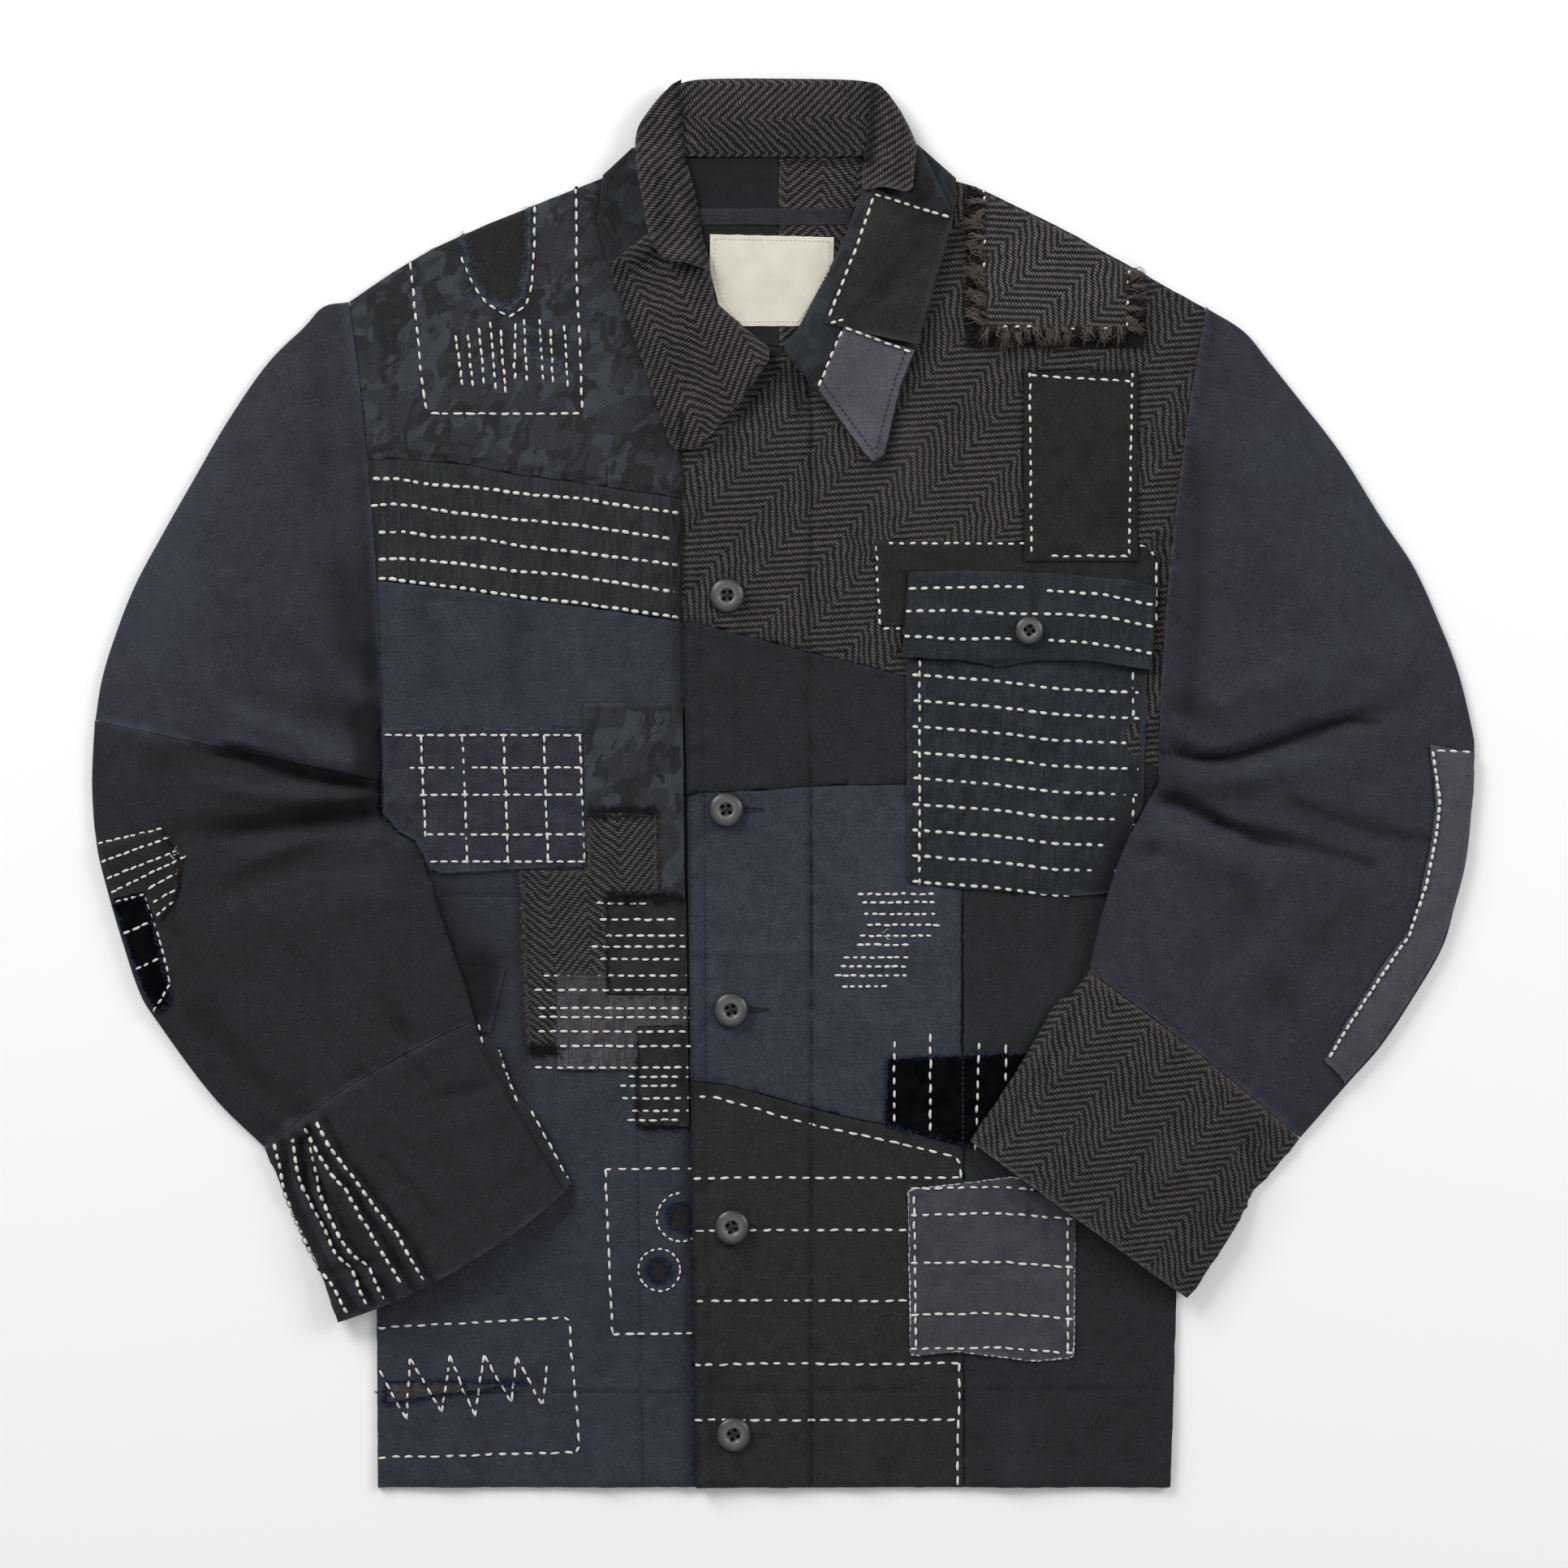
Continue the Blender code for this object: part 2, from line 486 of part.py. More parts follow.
slab("patch_shoulder", [(119.4, 323), (119.4, 257.6), (184.6, 257.6), (184.6, 289.4), (150.8, 308)], on_r, PATCH, tweed, pitch=15)
slab("patch_shoulder_fringe",
     [(111, 327), (111, 248.6), (193.2, 248.6), (193.2, 284.8), (185, 289.2), (185, 257.2), (119, 257.2), (119, 323.2)],
     on_r, 0.8, black, pitch=15)

# ---------------------------------------------------------------- sleeves, cuffs and the patches on them
tube("sleeve_l_upper", ARM_L_UPPER, ARM_LEFT, navy)
tube("sleeve_l_lower", ARM_L_LOWER, ARM_LEFT, black)
tube("cuff_l", CUFF_L, ARM_LEFT, black)
tube("sleeve_r", ARM_R, ARM_RIGHT, navy)
tube("cuff_r", CUFF_R, ARM_RIGHT, tweed)


def on_arm(side):
    where = ARM_LEFT if side < 0 else ARM_RIGHT
    return lambda x, y: where["base"](x, y, 0) + FRONT_TOP + where["air"](x, y) + 0.45


slab("patch_sleeve_l_brown",
     [(-379.5, -34), (-343, -24), (-331, -39.4), (-336.8, -66), (-344.3, -74.9), (-348, -72), (-353.4, -59), (-371.5, -63.5)],
     on_arm(-1), PATCH, brown, pitch=10)
slab("patch_sleeve_l_velvet",
     [(-371.5, -66.4), (-354.2, -60.4), (-349.5, -73), (-343.8, -97), (-338.4, -116.8), (-340.7, -121.7), (-346.5, -126.5), (-355, -113), (-364, -87)],
     on_arm(-1), PATCH, velvet, pitch=10)
slab("patch_sleeve_r_elbow",
     [(356.4, 21.5), (360, -9), (357.8, -29), (352.4, -56.5), (350, -71), (342, -85.3), (332, -98), (322.2, -113.6), (310.5, -131.2), (298.4, -152.3),
      (309.5, -162.5), (327.5, -142), (345.5, -115.5), (361, -89), (368, -67), (374.7, -41), (378, -10), (379.3, 17)],
     on_arm(1), PATCH, grey, pitch=10)

# ---------------------------------------------------------------- collar
ROLL_L = [(-56.7, 384.5), (-54.9, 347.2), (-46.4, 309.8), (-40.1, 280), (-37.8, 266.6), (-23.9, 254.5), (-8.1, 241.4)]
ROLL_R = [(45, 389.5), (44.1, 348.5), (42.8, 327.8), (35.1, 306.7), (27, 289), (9, 254.5), (0, 242)]
LEAF = 2.0


def roll(line, x, y, height=8.0):
    """The fall turns up from the neck seam, over, and down onto the front."""
    d = distance(line, x, y)
    return height * np.sin(np.clip(d / 11, 0, 1) * math.pi / 2) * (1 - smooth((d - 14) / 40))


def beside(line, d):
    """Points on one side of a line, so that the roll has a row of its own."""
    out = []
    for (ax, ay), (bx, by) in zip(line[:-1], line[1:]):
        length = math.hypot(bx - ax, by - ay)
        n = max(1, int(length / 12))
        for k in range(n):
            t = (k + 0.5) / n
            out.append((ax + (bx - ax) * t - d * (by - ay) / length, ay + (by - ay) * t + d * (bx - ax) / length))
    return out


CORNER = [(-56.3, 207), (-50, 214), (-11, 236), (4.5, 239.6), (4.5, 180), (-56.3, 180)]
# Each side of the collar is two cloths joined by a seam: the upper one turns on from the back of the neck.
SEAM_LEAF_L = [(-74.9, 303.6), (-70.8, 294.5), (-66.5, 289.4), (-57.5, 286.4), (-41.1, 284.6)]
UPPER_L = [(-55.4, 389), (-56.7, 384.5), (-54.9, 347.2), (-46.4, 309.8), *moved(SEAM_LEAF_L[::-1], 0.2, 0.2), (-81.9, 350), (-83.3, 359), (-65.3, 381.4)]
LEAF_L = [(-40.1, 280), (-37.8, 266.6), (-23.9, 254.5), (-8.1, 241.4), (-8.1, 234), (-23.9, 211.3), (-38.7, 195), (-49, 184.7), (-59.4, 184.7), (-63.5, 188.8),
          (-67, 199.6), (-74.7, 223.4), (-86.4, 257.6), (-95.4, 281.5), (-96.6, 287.4), *moved(SEAM_LEAF_L, -0.2, -0.2)]
UPPER_R = [(46.6, 389.3), (54, 386), (64.4, 371), (72.7, 353.1), (69.2, 327), (42.9, 329.9), (44.1, 348.5)]
LEAF_R = [(73.1, 352.7), (73.4, 353), (75.5, 351.2), (94, 315.3), (94, 313.4), (83.7, 275.6), (73.9, 242.8), (65.7, 220.3), (55.4, 180.2),
          (49.5, 177), (45, 181.6), (15.8, 220.3), (4.5, 232.4), (0, 242), (9, 254.5), (27, 289), (35.1, 306.7), (42.8, 327.8), (42.85, 329.4), (69.7, 326.4)]


def leaf_l(x, y):
    return on_l(x, y) + roll(ROLL_L, x, y) + raised(CORNER, x, y, CLOTH + GAP, 6, 24)


def leaf_r(x, y):
    return on_r(x, y) + roll(ROLL_R, x, y)


def rows_in(ring, line, distances):
    """Points beside the roll that fall well inside an outline."""
    return [p for d in distances for p in beside(line, d) if inside(ring, *p) and distance([*ring, ring[0]], *p) > 1.0]


slab("collar_upper_l", UPPER_L, leaf_l, LEAF, tweed, pitch=14, extra=rows_in(UPPER_L, ROLL_L, (-4.5, -10)))
slab("collar_leaf_l", LEAF_L, leaf_l, LEAF, tweed, pitch=14, extra=rows_in(LEAF_L, ROLL_L, (-4.5, -10)))
slab("collar_leaf_l_camo", [(-82.6, 350), (-75.5, 304.2), (-96.9, 288.2), (-103.5, 311.2), (-100, 336.8)], leaf_l, LEAF, camo, pitch=14)
slab("collar_upper_r", UPPER_R, leaf_r, LEAF, tweed, pitch=9, extra=rows_in(UPPER_R, ROLL_R, (4.5, 10)))
slab("collar_leaf_r", LEAF_R, leaf_r, LEAF, camo, pitch=9, extra=rows_in(LEAF_R, ROLL_R, (4.5, 10)))
slab("collar_r_camo_strip", [(76.2, 351), (94.6, 315.8), (95, 335)], leaf_r, LEAF, camo, pitch=14)
slab("collar_r_patch_brown", [(54, 325.6), (93, 313.4), (82.8, 276), (73, 244.2), (40, 260), (30, 268), (34, 282)],
     lambda x, y: leaf_r(x, y) + LEAF + 0.5, PATCH, brown, pitch=9)
slab("collar_r_patch_grey", [(37, 257), (71.8, 242.2), (64.4, 220.3), (54.6, 182), (49.5, 179), (21, 219)],
     lambda x, y: leaf_r(x, y) + LEAF + 0.5, PATCH, grey, pitch=9)


def folded_band(name, sections, mat, wall=CLOTH):
    """The collar at the back of the neck, folded over double: a hairpin section carried along from one leaf to the other."""
    points, count = [], 0
    for x, top, seam, height in sections:
        middle = height / 2
        over = [(seam, FRONT_LOW + 1.6), (seam + 12, height * 0.8), (seam + 26, height), (top - 6, height * 0.94)]
        turn = [(top - 1.4, height * 0.78), (top, middle), (top - 1.4, height * 0.2)]
        under = [(top - 6, 0.0), (seam + 8, 0.0)]
        inner = [(seam + 8, wall), (top - 6, wall), (top - 2.6, middle * 0.75), (top - 2.2, middle), (top - 2.8, middle * 1.25),
                 (top - 6, height * 0.94 - wall), (seam + 26, height - wall), (seam + 12, height * 0.8 - wall), (seam, FRONT_LOW + 1.6 - 1.1)]
        section = over + turn + under + inner
        count = len(section)
        points += [(x, y, z) for y, z in section]
    faces = []
    for i in range(len(sections) - 1):
        for k in range(count):
            j = (k + 1) % count
            faces.append((i * count + k, i * count + j, (i + 1) * count + j, (i + 1) * count + k))
    last = (len(sections) - 1) * count
    faces.append(tuple(range(count))[::-1])
    faces.append(tuple(range(last, last + count)))
    obj = add(name, points, faces, mat)
    mesh = obj.data
    mesh.calc_loop_triangles()
    volume = sum(mesh.vertices[t.vertices[0]].co.dot(mesh.vertices[t.vertices[1]].co.cross(mesh.vertices[t.vertices[2]].co)) for t in mesh.loop_triangles)
    if volume < 0:
        mesh.flip_normals()
    return obj


# across, top edge, neck seam, height
folded_band("collar_back", [
    (-53.2, 389.6, 347.8, 9), (-40, 390.2, 347.5, 10), (-22, 390.4, 347.4, 10.5), (-3, 390.3, 347.4, 10.5),
    (16, 390.1, 347.4, 10.5), (32, 389.9, 347.5, 10), (43.2, 389.6, 347.8, 9)], tweed)

# ---------------------------------------------------------------- buttons
for k, (cx, cy) in enumerate([(-31.5, 104.2), (-32, -14.2), (-29.3, -124.9), (-28.8, -245), (-27.9, -359.8)]):
    button(f"button_{k + 1}", cx, cy, 9.8, float(on_r(cx, cy)) + 0.35, horn)
button("button_pocket", 135.5, 84.8, 8.2, float(on_r(135.5, 84.8)) + FLAP_LIFT + 1.4 + 0.5, horn)
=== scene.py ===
"""How the patched boro jacket looks: its cloth as fine shells with their creases, its weaves, patches,
frayed edges, stitches and buttons, laid out under soft light.
Sizes below are millimetres in the shared frame; +Y is towards the collar and +X the viewer's right."""

import math

import bpy
import numpy as np
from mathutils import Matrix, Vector
from mathutils.geometry import delaunay_2d_cdt


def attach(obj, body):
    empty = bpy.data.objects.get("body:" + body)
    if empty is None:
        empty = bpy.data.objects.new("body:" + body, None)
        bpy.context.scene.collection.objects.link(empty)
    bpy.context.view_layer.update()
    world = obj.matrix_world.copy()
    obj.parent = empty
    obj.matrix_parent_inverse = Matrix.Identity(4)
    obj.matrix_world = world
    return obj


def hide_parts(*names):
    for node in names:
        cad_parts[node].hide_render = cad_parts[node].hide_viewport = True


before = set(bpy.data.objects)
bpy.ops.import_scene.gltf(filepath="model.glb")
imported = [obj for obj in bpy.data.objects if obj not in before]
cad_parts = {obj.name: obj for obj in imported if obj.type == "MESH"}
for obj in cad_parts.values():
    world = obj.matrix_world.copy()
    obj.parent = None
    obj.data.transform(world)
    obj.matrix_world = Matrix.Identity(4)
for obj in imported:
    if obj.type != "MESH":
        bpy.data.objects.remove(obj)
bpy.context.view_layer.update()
MM = 0.001
GAP = 0.3  # air between two layers of cloth
CLOTH, PATCH = 1.6, 1.0  # walls
SHADE_LIMITS = -0.5, 0.88  # limits of the painted light and shade: from cloth painted paler to the darkest painted shade
# the near-black that painted shade darkens the cloth towards
SHADE_COLOUR = (0.0035, 0.0033, 0.0040)


# ------------------------------------------------------------------ numbers in the plane
def smooth(t):
    t = np.clip(t, 0.0, 1.0)
    return t * t * (3 - 2 * t)


def noise(x, y, size, seed=0, octaves=1):
    """Smooth noise from -1 to 1 with features about this size."""
    out, amp, total = 0.0, 1.0, 0.0
    for o in range(octaves):
        g = np.random.default_rng(seed * 31 + o + 5).uniform(-1, 1, (128, 128))
        u, v = np.mod(np.asarray(x) / size, 128), np.mod(np.asarray(y) / size, 128)
        i, j = np.floor(u).astype(int) % 128, np.floor(v).astype(int) % 128
        fu, fv = smooth(u - np.floor(u)), smooth(v - np.floor(v))
        a, b = (i + 1) % 128, (j + 1) % 128
        out = out + amp * ((g[i, j] * (1 - fu) + g[a, j] * fu) * (1 - fv) + (g[i, b] * (1 - fu) + g[a, b] * fu) * fv)
        total, amp, size = total + amp, amp * 0.5, size / 2.1
    return out / total


def nearest(line, x, y):
    """Distance to an open line, how far along it, which side (left of it is positive) and its length."""
    x, y = np.asarray(x, float), np.asarray(y, float)
    best, along, side, run = np.full(x.shape, 1e9), np.zeros(x.shape), np.ones(x.shape), 0.0
    for (ax, ay), (bx, by) in zip(line[:-1], line[1:]):
        ux, uy = bx - ax, by - ay
        length = math.hypot(ux, uy) + 1e-9
        t = np.clip(((x - ax) * ux + (y - ay) * uy) / length**2, 0, 1)
        d = np.hypot(x - ax - t * ux, y - ay - t * uy)
        closer = d < best
        best = np.where(closer, d, best)
        along = np.where(closer, run + t * length, along)
        side = np.where(closer, np.sign(ux * (y - ay) - uy * (x - ax)), side)
        run += length
    return best, along, side, run


def distance(line, x, y):
    return nearest(line, x, y)[0]


def inside(ring, x, y):
    x, y = np.asarray(x, float), np.asarray(y, float)
    odd = np.zeros(x.shape, bool)
    for (ax, ay), (bx, by) in zip(ring, ring[1:] + ring[:1]):
        if ay == by:
            continue
        odd ^= ((ay > y) != (by > y)) & (x < (bx - ax) * (y - ay) / (by - ay) + ax)
    return odd


def walk(line, step, closed=False):
    """The line again, with points no further apart than this."""
    pts = list(line) + ([line[0]] if closed else [])
    out = []
    for (ax, ay), (bx, by) in zip(pts[:-1], pts[1:]):
        n = max(1, math.ceil(math.hypot(bx - ax, by - ay) / step))
        out += [(ax + (bx - ax) * k / n, ay + (by - ay) * k / n) for k in range(n)]
    return out if closed else [*out, pts[-1]]


def between(a, b, c, d, t):
    """A smooth step from b to c, with a before them and d after."""
    return 0.5 * (2 * b + (c - a) * t + (2 * a - 5 * b + 4 * c - d) * t * t + (3 * b - a - 3 * c + d) * t**3)


def rounded(d, width):
    """From 0 at an edge to 1 this far in, as a quarter circle squared."""
    return 1 - (1 - np.clip(d / width, 0, 1)) ** 2


def area_of(ring):
    """Positive if the ring runs anticlockwise."""
    return sum(a[0] * b[1] - a[1] * b[0] for a, b in zip(ring, ring[1:] + ring[:1])) / 2


def curve(line, step):
    """A smooth line through the points."""
    p = [np.array(q, float) for q in line]
    p = [2 * p[0] - p[1], *p, 2 * p[-1] - p[-2]]
    out = []
    for a, b, c, d in zip(p[:-3], p[1:-2], p[2:-1], p[3:]):
        n = max(1, int(round(np.linalg.norm(c[:2] - b[:2]) / step)))
        out += [between(a, b, c, d, k / n) for k in range(n)]
    return [tuple(q) for q in [*out, p[-2]]]


def moved(line, dx, dy):
    return [(x + dx, y + dy) for x, y in line]


def box_mask(line, x, y, reach):
    xs, ys = zip(*line)
    return (x > min(xs) - reach) & (x < max(xs) + reach) & (y > min(ys) - reach) & (y < max(ys) + reach)


def painted_shade(table, x, y):
    """How dark the painted shade lies along folds, edges and beside other parts (a negative amount paints light
    instead): line, how much of it, half width.
    """
    return np.clip(sum(k * np.exp(-((distance(line, x, y) / w) ** 2)) for line, k, w in table), *SHADE_LIMITS)


def folds(table, x, y):
    """Troughs and ridges: line, height (a trough's is negative), half width, and which ends run on to an edge."""
    out = np.zeros(np.shape(x))
    for line, height, width, ends in table:
        m = box_mask(line, x, y, 3 * width)
        if not m.any():
            continue
        d, s, side, length = nearest(line, x[m], y[m])
        w = width * (1 + 0.25 * noise(s, side * 9, 17, 3))
        taper = np.ones(d.shape)
        if "a" not in ends:
            taper = taper * smooth(s / (0.45 * length))
        if "b" not in ends:
            taper = taper * smooth((length - s) / (0.45 * length))
        out[m] += height * taper * np.exp(-((d / w) ** 2))
    return out


def puckers(table, x, y):
    """A sewn line draws the cloth in: a groove along it, and small ripples across it.

    A row is: line, groove depth, ripple height, its reach and its length along the line."""
    out = np.zeros(np.shape(x))
    for k, (line, groove, height, reach, pitch) in enumerate(table):
        m = box_mask(line, x, y, 2.4 * reach)
        if not m.any():
            continue
        d, s, *_ = nearest(line, x[m], y[m])
        ripple = noise(s + 0.25 * d, d * 0.35 + 50 * k, pitch, 11) + 0.5 * noise(s, d * 0.5 + 50 * k, pitch * 0.5, 12)
        out[m] += height * ripple * np.exp(-((d / reach) ** 2)) - groove * np.exp(-((d / 1.3) ** 2))
    return out


# ------------------------------------------------------------------ materials
class Cloth:
    """A material whose pattern is drawn in the cloth's own millimetres."""

    def __init__(self, name, colour, rough=0.95, sheen=0.0, specular=0.25):
        self.mat = bpy.data.materials.new(name)
        self.mat.use_nodes = True
        self.tree = self.mat.node_tree
        self.shader = self.tree.nodes["Principled BSDF"]
        self.shader.inputs["Base Color"].default_value = (*colour, 1)
        self.shader.inputs["Roughness"].default_value = rough
        self.shader.inputs["Specular IOR Level"].default_value = specular
        self.shader.inputs["Sheen Weight"].default_value = sheen
        self.shader.inputs["Sheen Roughness"].default_value = 0.45
        self.shader.inputs["Sheen Tint"].default_value = (0.75, 0.8, 1, 1)
        uv = self.node("ShaderNodeUVMap")
        uv.uv_map = "Cloth"
        self.uv = uv.outputs[0]
        split = self.node("ShaderNodeSeparateXYZ")
        self.link(self.uv, split.inputs[0])
        self.u, self.v = split.outputs[0], split.outputs[1]

    def node(self, kind):
        return self.tree.nodes.new(kind)

    def link(self, a, b):
        self.tree.links.new(a, b)

    def put(self, value, socket):
        if hasattr(value, "is_linked"):
            self.link(value, socket)
        else:
            socket.default_value = (*value, 1) if isinstance(value, tuple) and len(value) == 3 else value

    def math(self, op, a, b=0.0, c=0.0, clamp=False):
        n = self.node("ShaderNodeMath")
        n.operation, n.use_clamp = op, clamp
        for value, socket in zip((a, b, c), n.inputs):
            self.put(value, socket)
        return n.outputs[0]

    def mul(self, a, b, clamp=False):
        return self.math("MULTIPLY", a, b, clamp=clamp)

    def add(self, a, b):
        return self.math("ADD", a, b)

    def sub(self, a, b):
        return self.math("SUBTRACT", a, b)

    def mix(self, fac, a, b, how="MIX"):
        n = self.node("ShaderNodeMix")
        n.data_type, n.blend_type = "RGBA", how
        self.put(fac, n.inputs["Factor"])
        self.put(a, n.inputs[6])
        self.put(b, n.inputs[7])
        return n.outputs[2]

    def noise(self, size, detail=2.0, distort=0.0, rough=0.5, stretch=None):
        n = self.node("ShaderNodeTexNoise")
        n.inputs["Scale"].default_value = 1.0 / size
        n.inputs["Detail"].default_value = detail
        n.inputs["Roughness"].default_value = rough
        n.inputs["Distortion"].default_value = distort
        vector = self.uv
        if stretch:
            m = self.node("ShaderNodeMapping")
            m.vector_type = "TEXTURE"
            m.inputs["Rotation"].default_value = (0, 0, math.radians(stretch[0]))
            m.inputs["Scale"].default_value = (stretch[1], 1, 1)
            self.link(self.uv, m.inputs[0])
            vector = m.outputs[0]
        self.link(vector, n.inputs["Vector"])
        return n.outputs[0]

    def ramp(self, value, low, high):
        """From 0 to 1 as the value goes from low to high."""
        n = self.node("ShaderNodeMapRange")
        n.interpolation_type = "SMOOTHSTEP"
        self.put(value, n.inputs["Value"])
        n.inputs["From Min"].default_value = low
        n.inputs["From Max"].default_value = high
        return n.outputs[0]

    def wave(self, value, period):
        """A stripe from 0 to 1."""
        s = self.math("SINE", self.mul(value, 2 * math.pi / period))
        return self.math("MULTIPLY_ADD", s, 0.5, 0.5)

    def attribute(self, name):
        n = self.node("ShaderNodeAttribute")
        n.attribute_name = name
        return n.outputs["Fac"]

    def bump(self, height, size, strength=0.6):
        n = self.node("ShaderNodeBump")
        n.inputs["Strength"].default_value = strength
        n.inputs["Distance"].default_value = size * MM
        self.link(height, n.inputs["Height"])
        self.link(n.outputs[0], self.shader.inputs["Normal"])

    def lint(self, colour, pale, amount=0.5):
        """Small pale specks and hairs."""
        speck = self.ramp(self.noise(1.0, 4, 0.0, 0.75), 0.69, 0.76)
        return self.mix(self.mul(speck, amount), colour, pale)

    def drawn_up(self, colour, height, depth):
        """Fine ridges down the cloth, where rows of stitches across it draw it up; the troughs between the ridges are
        painted darker as shade.
        """
        ridge = self.ramp(self.noise(2.1, 2, 0.0, 0.5, (90, 7)), 0.35, 0.65)
        colour = self.mix(self.mul(self.sub(1.0, ridge), 0.45 * depth), colour, (0.004, 0.004, 0.005))
        return colour, self.add(height, self.mul(ridge, 5.0 * depth))

    def finish(self, colour, worn=None, wear_light_and_shade=0.5, grain=0.55):
        """Uneven yarns, cloth rubbed paler where it stands proud at seams and puckers, and painted shade darkening it
        along the shade lines.
        """
        if grain:
            uneven = self.math(
                "MULTIPLY_ADD", self.ramp(self.noise(7, 3, 0.3, 0.6), 0.25, 0.75), 0.24,
                self.mul(self.ramp(self.noise(1.05, 3, 0.0, 0.8), 0.3, 0.7), 0.76)
            )
            colour = self.mix(1.0, colour, self.mix(uneven, (1 - grain,) * 3, (1 + grain,) * 3), "MULTIPLY")
        if worn:
            # Positive values mix towards the paler worn colour (real wear; on the buttons a painted highlight),
            # negative values towards near-black as painted shade.
            for much, shade in ((wear_light_and_shade, worn), (-1.0, SHADE_COLOUR)):
                colour = self.mix(self.mul(self.attribute("wear_light_and_shade"), much, clamp=True), colour, shade)
        self.link(colour, self.shader.inputs["Base Color"])
        return self.mat


def tone(c, k):
    return tuple(min(1.0, x * k) for x in c)


def twill(name, c, angle=1.0, sheen=0.05, mottle=0.12, worn=None, pitch=1.1, fleck=0.35, drawn=0.0):
    m = Cloth(name, c, 0.95, sheen)
    line = m.wave(m.add(m.add(m.mul(m.u, angle), m.v), m.mul(m.noise(2.0, 2), 1.4)), pitch * 1.6)
    yarn = m.noise(0.9, 3, 0.2, 0.6)
    blot = m.noise(26, 4, 0.6, 0.6)
    colour = m.mix(m.ramp(blot, 0.3, 0.7), tone(c, 1 - mottle), tone(c, 1 + mottle))
    colour = m.mix(m.mul(m.ramp(yarn, 0.52, 0.78), fleck), colour, tone(c, 2.1))
    colour = m.mix(m.mul(m.ramp(m.noise(1.5, 3, 0.0, 0.6, (0, 6)), 0.5, 0.75), 0.4), colour, tone(c, 1.8))
    colour = m.mix(m.mul(line, 0.22), colour, tone(c, 0.55))
    colour = m.lint(colour, tone(c, 4.0))
    height = m.add(m.mul(line, 0.4), m.mul(yarn, 1.4))
    if drawn:
        colour, height = m.drawn_up(colour, height, drawn)
    m.bump(height, 0.32, 0.75)
    return m.finish(colour, worn or tone(c, 1.9))


def plain(name, c, sheen=0.05, mottle=0.12, worn=None, slub=0.3, grain=0.65, drawn=0.0):
    m = Cloth(name, c, 0.95, sheen)
    warp, weft = m.wave(m.u, 0.9), m.wave(m.v, 0.9)
    speck = m.noise(1.2, 3, 0.0, 0.6)
    slubs = m.math("MAXIMUM", m.noise(1.5, 3, 0.0, 0.6, (90, 9)), m.noise(1.5, 3, 0.0, 0.6, (0, 9)))
    blot = m.noise(22, 4, 0.7, 0.6)
    colour = m.mix(m.ramp(blot, 0.3, 0.7), tone(c, 1 - mottle), tone(c, 1 + mottle))
    colour = m.mix(m.mul(m.ramp(slubs, 0.5, 0.72), slub), colour, tone(c, 1.9))
    colour = m.mix(m.mul(m.ramp(speck, 0.55, 0.8), 0.3), colour, tone(c, 1.9))
    colour = m.lint(colour, tone(c, 3.6))
    height = m.add(m.mul(m.add(warp, weft), 0.3), m.mul(speck, 1.4))
    if drawn:
        colour, height = m.drawn_up(colour, height, drawn)
    m.bump(height, 0.3, 0.75)
    return m.finish(colour, worn or tone(c, 2.0), grain=grain)


def tweed(
    name, light=(0.049, 0.0440, 0.0430), dark=(0.0092, 0.0083, 0.0086), column=21.7, pitch=3.5, steep=1.0, turn=1.0
):
    """Herringbone: ribs of twisted yarn that turn back at each column of the cloth.

    Without a column they run one way. steep is how far a rib climbs as it crosses."""
    m = Cloth(name, dark, 1.0, 0.04, 0.12)
    wob = m.mul(m.sub(m.noise(15, 2), 0.5), 3.2)
    fine = m.mul(m.sub(m.noise(2.2, 3), 0.5), 1.5)
    cross = m.math("PINGPONG", m.add(m.u, wob), column) if column else m.mul(m.u, turn)
    n = math.hypot(1, steep)
    rib_at = m.add(m.mul(m.v, 1 / n), m.add(m.mul(cross, steep / n), m.add(fine, wob)))
    along = m.sub(m.mul(m.v, steep / n), m.mul(cross, 1 / n))
    strand = m.add(m.mul(rib_at, 0.53), m.mul(along, 0.85))
    rib, bead = m.wave(rib_at, pitch), m.wave(strand, 1.55)
    yarn = m.noise(0.75, 3, 0.3, 0.65)
    body = m.add(rib, m.add(m.mul(m.sub(yarn, 0.5), 1.7), m.mul(m.sub(bead, 0.5), 0.4)))
    mask = m.ramp(body, 0.05, 1.0)
    blot = m.ramp(m.noise(30, 3), 0.3, 0.7)
    pale = m.mix(blot, tone(light, 0.62), tone(light, 0.9))
    colour = m.mix(mask, dark, m.mix(m.ramp(bead, 0.25, 0.9), pale, tone(light, 2.2)))
    colour = m.mix(m.mul(m.ramp(m.noise(1.0, 4, 0.0, 0.75), 0.66, 0.74), 0.5), colour, tone(light, 3.4))
    m.bump(m.add(m.mul(rib, 1.5), m.add(m.mul(yarn, 0.7), m.mul(m.mul(bead, rib), 0.7))), 0.55, 0.9)
    return m.finish(colour, tone(light, 2.0), 0.5, 0.5)


def camouflage(name, base, light, dark, size=14.5):
    """Three close tones in torn, leaning blots."""
    m = Cloth(name, base, 0.93, 0.05)
    a = m.noise(size, 1.7, 0.9, 0.5, (52, 1.5))
    b = m.noise(size * 0.8, 1.7, 1.1, 0.5, (64, 1.6))
    line = m.wave(m.add(m.add(m.u, m.v), m.mul(m.noise(2.0, 2), 1.4)), 1.8)
    yarn = m.noise(0.9, 3, 0.0, 0.6)
    colour = m.mix(m.ramp(a, 0.515, 0.54), base, light)
    colour = m.mix(m.ramp(b, 0.54, 0.565), colour, dark)
    colour = m.mix(m.mul(m.ramp(yarn, 0.5, 0.8), 0.3), colour, tone(light, 1.7))
    colour = m.lint(colour, tone(light, 3.0))
    m.bump(m.add(m.mul(line, 0.4), m.mul(yarn, 1.4)), 0.3, 0.75)
    return m.finish(colour, tone(light, 1.6), grain=0.45)


